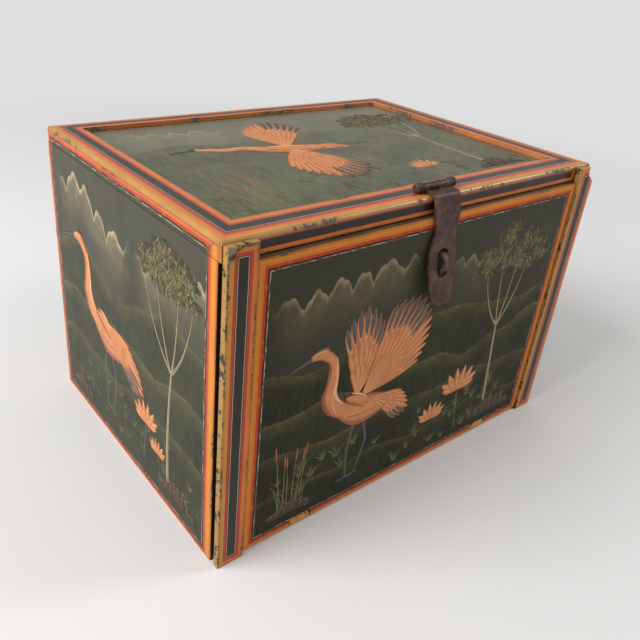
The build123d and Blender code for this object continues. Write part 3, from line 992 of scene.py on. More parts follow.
class Motif:
    """A painted thing made of strokes in several pigments."""

    def __init__(self) -> None:
        """Starts with nothing painted."""
        self.strokes: dict[Pigment, list[Stroke]] = {}

    def draw(
        self, pigment: Pigment, points: Iterable[Point], widths: Iterable[float], layer: int = 0
    ) -> None:
        """Adds one stroke."""
        self.strokes.setdefault(pigment, []).append(Stroke(tuple(points), tuple(widths), layer))

    def add(
        self,
        other: "Motif",
        place: Point,
        size: float = 1.0,
        flip: bool = False,
        turn: float = 0.0,
        layer: int = 0,
    ) -> None:
        """Places another motif in this one.

        Args:
            other: the motif.
            place: where its origin goes.
            size: how much larger it becomes.
            flip: whether its left and right change places.
            turn: how far it is turned, in degrees.
            layer: how many layers it is raised.
        """
        for pigment, strokes in other.strokes.items():
            placed = [stroke.moved(place, size, flip, turn, layer) for stroke in strokes]
            self.strokes.setdefault(pigment, []).extend(placed)

    def scatter(self, rng: random.Random, count: int, across: Point, up: Point, height: Point) -> None:
        """Scatters tufts of grass.

        Args:
            rng: the source of their differences.
            count: how many there are.
            across: the least and greatest distance from the left.
            up: the least and greatest distance from the foot.
            height: the least and greatest height of a tuft.
        """
        for _ in range(count):
            place = (rng.uniform(*across), rng.uniform(*up))
            self.add(Tuft(rng, rng.uniform(*height), rng.randint(7, 12)), place)


class Tuft(Motif):
    """A tuft of grass."""

    def __init__(self, rng: random.Random, height: float, blades: int) -> None:
        """Paints blades that lean out from one foot.

        Args:
            rng: the source of small differences.
            height: the longest blade's length.
            blades: how many blades there are.
        """
        super().__init__()
        for i in range(blades):
            lean = (i / max(1, blades - 1) - 0.5) * 1.7 + rng.uniform(-0.2, 0.2)
            tall = height * rng.uniform(0.55, 1.0) * (1.0 - 0.25 * abs(lean))
            foot = lean * height * 0.10
            tip = (foot + lean * tall * 0.95, tall * (1.0 - 0.25 * abs(lean)))
            blade = [(foot, 0), (foot + lean * tall * 0.25, tall * 0.75), tip]
            self.draw(rng.choice((GRASS, GRASS, OLIVE)), blade, [0.62, 0.50, 0.10])


class Tree(Motif):
    """A slender forked tree under a crown of hanging leaves."""

    def __init__(self, rng: random.Random, height: float, lean: float, spread: float) -> None:
        """Paints trunk, limbs and leaves upward from the foot.

        Args:
            rng: the source of small differences.
            height: height to the middle of the crown.
            lean: how far the trunk leans for each millimetre of height.
            spread: half the crown's width.
        """
        super().__init__()
        fork = (lean * height, height * 0.56)
        waist = (lean * height * 0.2 - 2.5, height * 0.27)
        self.draw(BARK, [(0, 0), waist, fork], [2.9, 2.0, 1.5], 1)
        lit = [(-1.1, 3), (waist[0] - 1.0, waist[1]), (fork[0] - 0.6, fork[1])]
        self.draw(CREAM, lit, [0.3, 0.4, 0.25], 2)
        for angle in (124, 104, 82, 64):
            reach = height * 0.44 * rng.uniform(0.85, 1.05)
            a = math.radians(angle + rng.uniform(-5, 5))
            end = (fork[0] + reach * 0.85 * math.cos(a), fork[1] + reach * math.sin(a))
            bend = (fork[0] + reach * 0.60 * math.cos(a), fork[1] + reach * 0.35 * math.sin(a))
            self.draw(BARK, [fork, bend, end], [1.2, 0.85, 0.25], 1)
            lit = [(fork[0] - 0.5, fork[1] + 2), (bend[0] - 0.4, bend[1] + 0.3), end]
            self.draw(CREAM, lit, [0.2, 0.28, 0.1], 2)
        for _ in range(64):
            a, r = rng.uniform(0, 2 * math.pi), math.sqrt(rng.uniform(0, 1))
            out, drop = r * math.cos(a), 10.0 * (r * math.cos(a)) ** 2
            self._cluster(rng, fork[0] + spread * out, height + spread * 0.46 * r * math.sin(a) - drop)

    def _cluster(self, rng: random.Random, x: float, y: float) -> None:
        """Paints a dark mass of leaves and the lit ones that hang from it.

        Args:
            rng: the source of small differences.
            x: the middle of the mass, across.
            y: the middle of the mass, up.
        """
        size = rng.uniform(6.0, 10.0)
        mass = [(x - size, y - 1), (x, y + 2), (x + size, y - 1)]
        self.draw(CANOPY, mass, [size * 0.2, size * 0.55, size * 0.2])
        for i in range(13):
            start = (x + rng.uniform(-1, 1) * size, y + rng.uniform(-0.55, 0.6) * size)
            swing, reach = math.radians(-90 + rng.uniform(-55, 55)), rng.uniform(3.2, 6.2)
            tip = (start[0] + reach * math.cos(swing), start[1] + reach * math.sin(swing))
            middle = ((start[0] + tip[0]) / 2, (start[1] + tip[1]) / 2)
            self.draw(LEAF if i % 3 == 0 else OLIVE, [start, middle, tip], [0.3, 1.1, 0.12], 2 + i % 2)


class Rocks(Motif):
    """A cluster of rounded rocks with pale outlines."""

    def __init__(self, rng: random.Random, width: float, height: float) -> None:
        """Paints overlapping rocks, the tallest in the middle.

        Args:
            rng: the source of small differences.
            width: the cluster's width.
            height: the tallest rock's height.
        """
        super().__init__()
        for i in range(8):
            x = (i / 7 - 0.5) * width + rng.uniform(-2, 2)
            tall = height * (1.0 - 0.7 * abs(i / 3.5 - 1)) * rng.uniform(0.8, 1.1)
            half = rng.uniform(4.0, 6.5)
            layer = (i * 3) % 8
            body = [(x, -1), (x + 0.5, tall * 0.5), (x + rng.uniform(-1.5, 1.5), tall)]
            self.draw(ROCK, body, [half, half * 1.1, half * 0.35], layer)
            rim = [(x + half * out, tall * up) for out, up in ((-0.95, 0.35), (-0.55, 1.02), (0.7, 0.72))]
            self.draw(BARK, rim, [0.15, 0.42, 0.12], layer + 1)
            flank = [(x, tall * 0.2), (x + 0.8, tall * 0.5), (x + 0.4, tall * 0.78)]
            self.draw(SIENNA, flank, [0.2, 0.7, 0.15], layer + 1)


class Reeds(Motif):
    """Reeds with long arching leaves and seed heads."""

    def __init__(self, rng: random.Random, height: float, count: int) -> None:
        """Paints stems, leaves and heads.

        Args:
            rng: the source of small differences.
            height: the tallest reed's height.
            count: how many reeds there are.
        """
        super().__init__()
        for i in range(count):
            x = (i / max(1, count - 1) - 0.5) * height * 0.32
            tall = height * rng.uniform(0.7, 1.0)
            sway = (x * 0.35 + rng.uniform(-2, 2)) * 1.2
            self.draw(LEAF, [(x, 0), (x + sway * 0.2, tall * 0.6), (x + sway, tall)], [0.6, 0.5, 0.3])
            head = [(x + sway * out, tall * up) for out, up in ((1.0, 0.97), (1.1, 1.08), (1.2, 1.17))]
            self.draw(SIENNA, head, [0.7, 1.4, 0.4], 1)
            out = math.copysign(tall * rng.uniform(0.16, 0.26), x + 0.1)
            leaf = [(x, 0), (x + out * 0.25, tall * 0.55), (x + out, tall * rng.uniform(0.42, 0.6))]
            self.draw(GRASS, leaf, [0.8, 0.85, 0.12])


class Lotus(Motif):
    """A lotus flower seen from the side, on a bent stem."""

    def __init__(self, size: float, stem: float, bend: float) -> None:
        """Paints the stem, then back, side and front petals.

        Args:
            size: the longest petal's length.
            stem: the stem's height.
            bend: how far its foot is to the right of the flower.
        """
        super().__init__()
        self.draw(GRASS, [(bend, -stem), (bend * 0.3, -stem * 0.5), (0, 0)], [0.9, 0.8, 0.8])
        rows = (
            (0, (-64, -38, -12, 12, 38, 64), 1.0, 0.20),
            (2, (-84, -46, 46, 84), 0.82, 0.20),
            (4, (-50, -18, 18, 50), 0.66, 0.21),
        )
        for layer, angles, reach, fat in rows:
            for i, angle in enumerate(angles):
                a = math.radians(90 - angle)
                tip = (size * reach * math.cos(a), size * reach * math.sin(a) * 0.9 + size * 0.05)
                line = [(0, 0), (tip[0] * 0.55, tip[1] * 0.42), (tip[0] * 0.92, tip[1] * 0.80), tip]
                widths = [size * fat * 0.4, size * fat, size * fat * 0.55, size * 0.012]
                self.draw(SALMON, line, widths, layer + i % 2)
                vein = [(p[0] * 0.9, p[1] * 0.92) for p in line[1:]]
                self.draw(BLUSH, vein, [size * 0.012, size * 0.05, size * 0.008], layer + 2)


class Wing(Motif):
    """A spread wing in three rows of overlapping feathers, its shoulder at the origin."""

    def __init__(self, start: float, end: float, reach: float, count: int, dark: int = 0) -> None:
        """Paints the feathers from the longest row to the shortest.

        Args:
            start: direction of the first feather in degrees.
            end: direction of the last.
            reach: length of the longest feather.
            count: how many feathers the longest row has.
            dark: how many of these, from the first, have dark ends.
        """
        super().__init__()
        for row, share in enumerate((1.0, 0.66, 0.42)):
            many = count - 2 * row
            step = math.radians(end - start) / (many - 1)
            for i in range(many):
                t = i / (many - 1)
                angle = math.radians(start) + step * i
                far = reach * share * (1.0 - 0.30 * abs(t - 0.35) ** 1.3 * 2.0)
                width = abs(step) * far * 0.62 + 0.5
                bend = angle - math.copysign(0.07, step)
                places = ((0.08, angle), (0.5, angle), (0.88, bend), (1.0, bend))
                line = [(far * k * math.cos(a), far * k * math.sin(a)) for k, a in places]
                self._feather(line, width, 3 * row + i % 2, row == 0 and i < dark)

    def _feather(self, line: list[Point], width: float, layer: int, dark: bool) -> None:
        """Paints one feather with its shadow, its light and perhaps a dark end.

        Args:
            line: its root, belly, end and tip.
            width: half its greatest width.
            layer: the layer it is painted on.
            dark: whether its end is dark.
        """
        self.draw(SALMON, line, [width * 0.35, width * 0.8, width, width * 0.25], layer)
        root, belly, end, tip = line
        across = Vector((root[1] - tip[1], tip[0] - root[0])).normalized() * width
        low = [(p[0] + across.x * k, p[1] + across.y * k) for p, k in ((belly, 0.45), (end, 0.7), (tip, 0.1))]
        self.draw(SIENNA, low, [width * 0.06, width * 0.16, width * 0.05], layer + 1)
        self.draw(BLUSH, [root, belly, end], [width * 0.04, width * 0.13, width * 0.03], layer + 1)
        if dark:
            middle = ((belly[0] + end[0]) / 2, (belly[1] + end[1]) / 2)
            self.draw(SLATE, [middle, end, tip], [width * 0.2, width * 0.92, width * 0.3], layer + 1)


class Crane(Motif):
    """A standing crane, facing right, its feet at the origin, with wings folded or raised."""

    def __init__(self, raised: bool) -> None:
        """Paints far wing, legs, tail, body, neck, head and near wing.

        Args:
            raised: whether the wings are lifted.
        """
        super().__init__()
        if raised:
            self.add(Wing(78, 122, 76, 9, 9), (8, 78))
        for x, knee, foot in ((-3, (-9, 32), (-1, 2)), (6, (10, 30), (8, 1))):
            self.draw(SLATE, [(x, 56), ((x + knee[0]) / 2, 44), knee], [2.4, 1.3, 1.5])
            self.draw(SLATE, [knee, ((knee[0] + foot[0]) / 2, 15), foot], [1.5, 1.0, 1.1])
            for toe in ((-6, -1.5), (7, -2.5), (10, 0.5)):
                end = (foot[0] + toe[0], foot[1] + toe[1])
                self.draw(SLATE, [foot, (foot[0] + toe[0] * 0.5, foot[1] - 0.4), end], [0.9, 0.7, 0.25])
        self.add(Wing(222, 184, 50, 8, 3), (-10, 70), layer=1)
        self.draw(SALMON, [(-34, 63), (-14, 63), (8, 64), (26, 74)], [4.0, 12.5, 16.0, 4.0], 6)
        self.draw(SIENNA, [(-24, 56), (-6, 51.5), (12, 54), (24, 66)], [0.6, 2.6, 2.4, 0.5], 7)
        self.draw(SIENNA, [(-16, 60.5), (0, 58), (14, 62)], [0.3, 1.3, 0.3], 7)
        self.draw(SALMON, [(8, 63), (38, 79), (31, 104), (34, 121), (46, 127)], [6.0, 9.5, 4.8, 3.9, 5.0], 6)
        self.draw(SIENNA, [(33, 72), (42, 86), (35.6, 103), (38, 118)], [1.6, 2.0, 1.2, 0.4], 7)
        self.draw(BLUSH, [(21, 77), (31, 86), (28.4, 103), (31.6, 120)], [0.8, 2.2, 1.4, 0.5], 7)
        self.draw(BLUSH, [(26, 70), (33, 80), (31, 95)], [0.3, 0.9, 0.3], 7)
        self.draw(SALMON, [(41, 126), (49, 127.6), (55, 125.2)], [4.6, 5.0, 2.2], 7)
        self.draw(BLUSH, [(42, 128.5), (48, 130), (53, 127.5)], [0.4, 1.2, 0.3], 8)
        self.draw(SLATE, [(54, 125.6), (66, 122.8), (79, 118.0)], [2.1, 1.5, 0.3], 8)
        self.draw(SLATE, [(40, 131), (47, 132.6), (54, 128.8)], [0.4, 1.7, 0.4], 9)
        self.draw(CREAM, [(48.0, 127.4), (49.2, 127.6), (50.4, 127.3)], [0.6, 1.15, 0.6], 9)
        self.draw(SLATE, [(48.9, 127.5), (49.4, 127.5), (49.9, 127.4)], [0.4, 0.6, 0.4], 10)
        wing = Wing(112, 172, 88, 13, 7) if raised else Wing(214, 180, 62, 9, 4)
        self.add(wing, (2, 77) if raised else (8, 77), layer=8)
        self.draw(SALMON, [(-10, 68), (4, 75), (18, 80)], [1.0, 9.0, 1.0], 17)
        self.draw(BLUSH, [(-4, 74), (4, 80.5), (13, 83)], [0.4, 1.8, 0.5], 18)
        self.draw(SIENNA, [(-2, 66), (8, 70.5), (17, 76)], [0.4, 1.3, 0.4], 18)


class FlyingCrane(Motif):
    """A crane in flight, facing right, both wings spread."""

    def __init__(self) -> None:
        """Paints far wing, legs, tail, body, neck, head and near wing."""
        super().__init__()
        self.add(Wing(122, 62, 72, 12, 6), (4, 4))
        for lift in (-2.0, 1.5):
            self.draw(SLATE, [(-20, lift), (-42, lift + 3), (-66, lift + 2)], [1.7, 1.3, 0.6])
        self.add(Wing(196, 166, 36, 7, 2), (-10, 1), layer=1)
        self.draw(SALMON, [(-26, 1), (-6, -1), (14, 1), (30, 4)], [4.5, 11.5, 11.5, 6.0], 6)
        self.draw(SIENNA, [(-14, -8), (4, -10), (22, -5)], [0.5, 2.0, 0.4], 7)
        self.draw(SALMON, [(24, 3), (40, 10), (54, 5), (68, 11), (75, 12)], [7.0, 4.8, 3.6, 3.4, 4.2], 6)
        self.draw(BLUSH, [(26, 7), (41, 13.0), (54, 7.4), (66, 12.6)], [0.6, 1.5, 1.1, 0.4], 7)
        self.draw(SLATE, [(77, 12), (87, 10), (96, 7)], [1.9, 1.3, 0.3], 8)
        self.draw(SLATE, [(69, 15), (74, 16.2), (79, 14)], [0.5, 1.5, 0.4], 8)
        self.draw(CREAM, [(74.2, 12.6), (75.2, 12.8), (76.2, 12.5)], [0.5, 1.0, 0.5], 8)
        self.add(Wing(-122, -58, 72, 12, 6), (4, 0), layer=8)
        self.draw(SALMON, [(-16, -3), (5, 0), (24, 3)], [1.0, 9.0, 1.0], 17)
        self.draw(BLUSH, [(-8, 4), (6, 6.5), (22, 6.5)], [0.5, 1.9, 0.4], 18)


def stand(name: str, data: bpy.types.ID) -> bpy.types.Object:
    """Puts a mesh, a curve, a lamp or a camera in the scene.

    Args:
        name: the object's name.
        data: what the object shows.

    Returns:
        The object.
    """
    thing = bpy.data.objects.new(name, data)
    bpy.context.scene.collection.objects.link(thing)
    return thing


@dataclass
class Picture:
    """Brushwork on one side of the box, kept between its left, right, lower and upper limits."""

    name: str
    side: Side
    origin: Triple
    body: str
    reach: tuple[float, float, float, float]
    thickness: float = 0.09
    layer_step: float = 0.024
    sunk: float = 0.05
    motif: Motif = field(default_factory=Motif)

    def lay(self) -> None:
        """Turns the motif's strokes into thin relief on the side, one object for each pigment."""
        for pigment, strokes in self.motif.strokes.items():
            piece = self._pigment(pigment, [stroke for stroke in strokes if self._inside(stroke)])
            LOG.info("painted %s", piece.name)

    def _inside(self, stroke: Stroke) -> bool:
        """Finds whether a stroke stays inside the border.

        Args:
            stroke: the stroke.

        Returns:
            True if all of it does.
        """
        left, right, foot, head = self.reach
        return all(
            left + w < x < right - w and foot + w * 0.5 < y < head - w
            for (x, y), w in zip(stroke.points, stroke.widths)
        )

    def _pigment(self, pigment: Pigment, strokes: list[Stroke]) -> bpy.types.Object:
        """Makes the strokes of one pigment into one object on the box.

        Args:
            pigment: the pigment.
            strokes: its strokes, on any layers.

        Returns:
            The object.
        """
        shape = bmesh.new()
        crest = shape.verts.layers.float.new("crest")
        for layer in sorted({stroke.layer for stroke in strokes}):
            mesh = self._tubes([stroke for stroke in strokes if stroke.layer == layer])
            start = len(shape.verts)
            shape.from_mesh(mesh)
            bpy.data.meshes.remove(mesh)
            shape.verts.ensure_lookup_table()
            shape.normal_update()
            for vert in shape.verts[start:]:
                high = max(0.0, vert.normal.z)
                vert[crest] = high
                vert.co.z = layer * self.layer_step + high * self.thickness if high > 0.02 else -self.sunk
        bmesh.ops.transform(shape, matrix=self.side.matrix(self.origin), verts=shape.verts)
        bmesh.ops.recalc_face_normals(shape, faces=shape.faces)
        name = f"{self.name}_{pigment.name}"
        mesh = bpy.data.meshes.new(name)
        shape.to_mesh(mesh)
        shape.free()
        mesh.materials.append(pigment_material(pigment))
        mesh.shade_smooth()
        piece = stand(name, mesh)
        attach(piece, self.body)
        return piece

    @staticmethod
    def _tubes(strokes: list[Stroke]) -> bpy.types.Mesh:
        """Sweeps a round brush along each stroke.

        Args:
            strokes: strokes of one layer.

        Returns:
            The mesh, in millimetres.
        """
        broad = max(max(stroke.widths) for stroke in strokes) > 2.0
        curve = bpy.data.curves.new("strokes", "CURVE")
        curve.dimensions = "3D"
        curve.twist_mode = "Z_UP"
        curve.bevel_depth = 1.0
        curve.bevel_resolution = 2 if broad else 1
        curve.resolution_u = 6 if broad else 3
        curve.use_fill_caps = True
        for stroke in strokes:
            spline = curve.splines.new("NURBS")
            spline.points.add(len(stroke.points) - 1)
            for point, (x, y), width in zip(spline.points, stroke.points, stroke.widths):
                point.co = (x, y, 0.0, 1.0)
                point.radius = width
            spline.order_u = 3
            spline.use_endpoint_u = True
        holder = stand("strokes", curve)
        evaluated = holder.evaluated_get(bpy.context.evaluated_depsgraph_get())
        mesh = bpy.data.meshes.new_from_object(evaluated)
        bpy.data.objects.remove(holder)
        bpy.data.curves.remove(curve)
        return mesh


def dress(nodes: Iterable[str], material: bpy.types.Material) -> None:
    """Gives CAD nodes a material.

    Args:
        nodes: their names.
        material: the material.
    """
    for name in nodes:
        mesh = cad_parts[name].data
        mesh.materials.clear()
        mesh.materials.append(material)
        LOG.info("dressed %s with %s", name, material.name)


BORDER = (
    (1.4, PAINTS.orange),
    (3.6, PAINTS.amber),
    (5.4, PAINTS.orange),
    (7.6, PAINTS.red),
    (9.0, PAINTS.black),
    (9.9, PAINTS.pale),
    (10.6, PAINTS.black),
)
SIDE_BORDER = (
    (2.2, PAINTS.orange),
    (5.6, PAINTS.amber),
    (7.5, PAINTS.orange),
    (9.8, PAINTS.red),
    (11.4, PAINTS.black),
    (12.3, PAINTS.pale),
    (13.0, PAINTS.black),
)
TOP_BORDER = ((1.8, PAINTS.black), (2.7, PAINTS.pale), (3.4, PAINTS.black))

OUTSIDE = 186.0
BACK_FACE = 135.0
CASE_TOP = 246.5
ENDS = ("left", "right")


@dataclass
class FallFront:
    """The painted fall front: half its width, its lower and upper edge, its face and its picture's margin."""

    half: float = 163.3
    low: float = 0.2
    high: float = 236.2
    face: float = -135.0
    margin: float = 11.2

    def build(self) -> None:
        """Dresses the board and paints its picture."""
        width, height = 2 * self.half, self.high - self.low
        origin = (-self.half, self.face, self.low)
        landscape = Landscape(
            height,
            3.0,
            (
                Hill(150, 24, 110, 22, 0.75),
                Hill(112, 20, 85, 24, 0.8),
                Hill(78, 14, 100, 20, 0.7),
                Hill(42, 8, 70, 14, 0.5),
            ),
            (CloudBank(196, 16, 22, 8, 150, 0.55), CloudBank(186, 10, 17, 172, 250, 0.4)),
        )
        varnish = Varnish(0.46, 0.16, 1.24)
        panel = Panel(Side.FRONT, origin, width, height, BORDER, landscape, Wear(1.6, 0.7, 2.0), varnish)
        dress(["front_board"], panel.material("front_painting"))
        reach = (self.margin, width - self.margin, self.margin, height - self.margin)
        picture = Picture("front_picture", Side.FRONT, origin, "front", reach)
        self._paint(picture.motif, random.Random(7), width)
        picture.lay()

    @staticmethod
    def _paint(motif: Motif, rng: random.Random, width: float) -> None:
        """Paints a crane with raised wings between reeds and lotus, with a tree, rocks and grass.

        Args:
            motif: what is painted on.
            rng: the source of small differences.
            width: the board's width.
        """
        motif.add(Tree(rng, 170, -0.06, 46), (268, 22))
        motif.add(Rocks(rng, 50, 22), (276, 19))
        motif.add(Rocks(rng, 34, 15), (42, 19))
        motif.add(Reeds(rng, 60, 6), (40, 18))
        motif.add(Lotus(25, 46, 8), (222, 64))
        motif.add(Lotus(18, 34, -6), (192, 44))
        motif.add(Crane(True), (104, 24), 1.02, flip=True)
        motif.scatter(rng, 34, (16, width - 16), (13, 58), (8, 19))


@dataclass
class Sides:
    """The two painted ends of the box, with the lid's edges above them."""

    out: float = OUTSIDE
    front: float = -127.5
    back: float = BACK_FACE
    top: float = CASE_TOP
    front_trim: float = 5.0

    def build(self) -> None:
        """Dresses the side boards and the lid's side edges, and paints their pictures."""
        width, height = self.back - self.front, self.top
        ends = (
            (Side.LEFT, (-self.out, self.back, 0.0), 13.0, (self.front_trim, 0.0)),
            (Side.RIGHT, (self.out, self.front, 0.0), 19.0, (0.0, self.front_trim)),
        )
        for (side, origin, seed, trim), name in zip(ends, ENDS):
            landscape = Landscape(
                height,
                seed,
                (Hill(160, 20, 85, 22, 0.8), Hill(118, 18, 70, 24, 0.8), Hill(72, 12, 80, 20, 0.6)),
                (CloudBank(200, 18, 24, 14, 150, 1.0), CloudBank(196, 14, 20, 150, 300, 0.8)),
                # painted sheen: the ends' ground is lightened by a quarter to stand in for the varnish's
                # sheen
                1.25,
            )
            wear, varnish = Wear(1.8, 0.8, seed), Varnish(0.42, 0.16, 1.34)
            cut = (*trim, 6.0, 5.5)
            panel = Panel(side, origin, width, height, SIDE_BORDER, landscape, wear, varnish, cut)
            dress([f"{name}_side", f"lid_apron_{name}"], panel.material(f"{name}_painting"))
            picture = Picture(f"{name}_picture", side, origin, "case", (12.0, width - 13.2, 8.2, 236.5))
            self._paint(picture.motif, random.Random(int(seed)), width, side is Side.RIGHT)
            picture.lay()

    @staticmethod
    def _paint(motif: Motif, rng: random.Random, width: float, flip: bool) -> None:
        """Paints a crane by a tree, with lotus, rocks and grass.

        Args:
            motif: what is painted on.
            rng: the source of small differences.
            width: the side's width.
            flip: whether left and right change places.
        """

        def place(x: float, y: float) -> Point:
            """A place on the side, mirrored if the side is."""
            return (width - x if flip else x, y)

        motif.add(Tree(rng, 182, 0.04, 40), place(200, 26), flip=flip)
        motif.add(Rocks(rng, 46, 22), place(214, 16))
        motif.add(Rocks(rng, 34, 16), place(38, 16))
        motif.add(Crane(False), place(104, 30), 1.12, flip=not flip)
        motif.add(Lotus(21, 38, -6), place(166, 60), flip=flip)
        motif.add(Lotus(14, 28, 6), place(184, 42), flip=flip)
        motif.scatter(rng, 28, (18, width - 18), (16, 66), (9, 20))


@dataclass
class Lid:
    """The lid: a painted panel sunk in a striped frame."""

    half: float = 162.5
    front: float = -104.5
    back: float = 118.0
    face: float = CASE_TOP
    margin: float = 4.5

    def build(self) -> None:
        """Dresses the lid's boards and paints its panel."""
        width, height = 2 * self.half, self.back - self.front
        origin = (-self.half, self.front, self.face)
        landscape = Landscape(
            height,
            27.0,
            (Hill(150, 18, 110, 24, 0.5), Hill(96, 16, 100, 26, 0.55), Hill(46, 10, 90, 18, 0.45)),
            (CloudBank(184, 12, 22, 10, 120, 0.45),),
            # painted sheen: the lid's ground is lightened 3.2 times to stand in for the varnish reflecting
            # the room
            3.2,
        )
        varnish = Varnish(0.34, 0.14, 1.75)
        panel = Panel(Side.TOP, origin, width, height, TOP_BORDER, landscape, Wear(0.6, 0.3, 33.0), varnish)
        dress(["lid_panel"], panel.material("lid_painting"))
        frame_boards = [f"lid_frame_{side}" for side in ("front", "right", "back", "left")]
        dress(frame_boards, LidFrameFinish().material("lid_stripes"))
        dress(["lid_apron_front"], ApronFinish().material("lid_edge_stripes"))
        reach = (self.margin, width - self.margin, self.margin, height - self.margin)
        picture = Picture("lid_picture", Side.TOP, origin, "lid", reach)
        self._paint(picture.motif, random.Random(41), width)
        picture.lay()

    @staticmethod
    def _paint(motif: Motif, rng: random.Random, width: float) -> None:
        """Paints a flying crane over a tree, lotus, reeds, rocks and grass.

        Args:
            motif: what is painted on.
            rng: the source of small differences.
            width: the panel's width.
        """
        motif.add(FlyingCrane(), (140, 118), 1.12, flip=True, turn=-8)
        motif.add(Tree(rng, 160, 0.02, 42), (272, 14))
        motif.add(Rocks(rng, 44, 20), (280, 13))
        motif.add(Reeds(rng, 54, 6), (44, 8))
        motif.add(Lotus(17, 26, 5), (212, 36))
        motif.scatter(rng, 22, (12, width - 12), (8, 48), (8, 16))


@dataclass
class Back:
    """The painted back of the box, with the lid's edge above it."""

    half: float = 177.0
    face: float = BACK_FACE
    top: float = CASE_TOP

    def build(self) -> None:
        """Dresses the back board and the lid's back edge, and paints a plain picture."""
        width, origin = 2 * self.half, (self.half, self.face, 0.0)
        landscape = Landscape(
            self.top, 45.0, (Hill(150, 20, 130, 26, 0.5), Hill(90, 14, 120, 24, 0.5)), lift=0.9
        )
        wear, trim = Wear(1.8, 0.9, 47.0), (0.0, 0.0, 5.0, 5.0)
        panel = Panel(Side.BACK, origin, width, self.top, SIDE_BORDER, landscape, wear, trim=trim)
        dress(["back_board", "lid_apron_back"], panel.material("back_painting"))
        picture = Picture("back_picture", Side.BACK, origin, "case", (14.0, 340.0, 9.0, 200.0))
        self._paint(picture.motif, random.Random(53))
        picture.lay()

    @staticmethod
    def _paint(motif: Motif, rng: random.Random) -> None:
        """Paints lotus, reeds, rocks and grass.

        Args:
            motif: what is painted on.
            rng: the source of small differences.
        """
        for place, size in (((120, 84), 24), ((152, 60), 17), ((236, 70), 20)):
            motif.add(Lotus(size, size * 1.9, 6), place)
        for across in (86, 262):
            motif.add(Reeds(rng, 66, 6), (across, 20))
            motif.add(Rocks(rng, 46, 20), (across + 6, 18))
        motif.scatter(rng, 30, (24, 330), (16, 60), (9, 20))


@dataclass
class Carcase:
    """The stiles, the bare boards and the drawers, with the stiles' two edges and their height."""

    stile_inner: float = 163.9
    stile_outer: float = 185.5
    stile_height: float = 248.8
    drawers: int = 3

    def build(self) -> None:
        """Dresses every board of the carcase that has no picture."""
        width, pitch = self.stile_outer - self.stile_inner, self.stile_outer + self.stile_inner
        stiles = (("left_stile", 1.0, 111.0), ("right_stile", 0.0, 117.0), ("stile_nails", 0.0, 119.0))
        for name, bare, seed in stiles:
            stripes = StileFinish(-self.stile_outer, pitch, width, self.stile_height, bare, seed)
            dress([name], stripes.material(f"{name}_stripes"))
        self._bare_boards()
        self._drawers()

    def _bare_boards(self) -> None:
        """Dresses the boards that aren't painted, by the way their grain runs."""
        along = BareWood((0.17, 0.105, 0.058), (9.0, 1.0, 1.0)).material("bare_boards")
        deep = BareWood((0.19, 0.12, 0.066), (1.0, 9.0, 1.0)).material("bare_dividers")
        # painted shade: the posts and drawer guides get a very dark wood tone that stands in for the shadow
        # in the gap behind the stiles
        upright = BareWood((0.050, 0.033, 0.021), (1.0, 1.0, 9.0)).material("bare_posts_painted_shade")
        dress(["base_board", "well_shelf", "drawer_shelf", "well_front"], along)
        dress([f"well_long_divider_{i}" for i in (1, 2)], along)
        dress([f"well_cross_divider_{i}" for i in (1, 2, 3)], deep)
        dress([f"{kind}_partition_{i}" for kind in ("drawer", "lower") for i in (1, 2)], deep)
        dress([f"drawer_{i + 1}_tray" for i in range(self.drawers)], deep)
        dress([f"{end}_{kind}" for kind in ("post", "drawer_guide") for end in ENDS], upright)

    def _drawers(self) -> None:
        """Dresses the drawers' fronts and knobs."""
        names = [f"drawer_{i + 1}" for i in range(self.drawers)]
        for name in names:
            low, high = (tuple(c / MM for c in corner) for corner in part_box(f"{name}_front"))
            dress([f"{name}_front"], DrawerPaint(low, high).material(f"{name}_paint"))
        dress([f"{name}_knob" for name in names], TurnedWood().material("knob_wood"))


@dataclass
class Ironwork:
    """Hasp, staple, hinges and nails."""

    def build(self) -> None:
        """Dresses the ironwork."""
        dark = ForgedIron((0.030, 0.022, 0.020), (0.075, 0.050, 0.042), (0.14, 0.060, 0.032), 0.40)
        brown = ForgedIron((0.035, 0.026, 0.024), (0.095, 0.062, 0.050))
        nails = ForgedIron((0.05, 0.034, 0.026), (0.13, 0.085, 0.055))
        leaves = [f"{part}_hinge_leaf_{end}" for part in ("case", "lid") for end in ENDS]
        eyes_and_pins = [f"{part}_{end}" for part in ("hasp_eye", "front_hinge_pin") for end in ENDS]
        dress(["hasp"], ForgedIron().material("hasp_iron"))
        dress(["hasp_pin", "staple", *eyes_and_pins], dark.material("dark_iron"))
        dress(["back_hinge_pins", *leaves], brown.material("hinge_iron"))
        dress(["case_hinge_nails", "lid_hinge_nails", "carcase_nails"], nails.material("nail_iron"))
        dress([f"front_hinge_lug_{end}" for end in ENDS], OchreIron().material("ochre_iron"))


@dataclass(frozen=True)
class FloorPaper(Finish):
    """Pale paper that turns into an even backdrop far from the box, for the camera and in reflections."""

    colour: Colour
    backdrop: Colour
    near: float = 380.0
    far: float = 1500.0

    def lay(self, graph: Graph) -> None:
        """Adds the paper and the backdrop.

        Args:
            graph: the material's nodes.
        """
        spot = graph.spot
        mottled = graph.mix(graph.noise(260.0, 3.0, shift=5.0), toned(self.colour, 0.96), self.colour)
        inputs = {"Base Color": mottled, "Roughness": 0.9, "IOR": 1.3}
        paper = graph.node("ShaderNodeBsdfPrincipled", None, inputs)
        distant = (spot.x * spot.x + spot.y * spot.y).rise(self.near**2, self.far**2)
        path = graph.node("ShaderNodeLightPath")
        seen = Value(graph, path.outputs["Is Camera Ray"]).most(Value(graph, path.outputs["Is Glossy Ray"]))
        glow = graph.node("ShaderNodeEmission", None, {"Color": self.backdrop, "Strength": 1.0})
        mixed = graph.node(
            "ShaderNodeMixShader", None, {0: distant * seen, 1: paper.outputs[0], 2: glow.outputs[0]}
        )
        graph.node("ShaderNodeOutputMaterial", None, {0: mixed.outputs[0]})


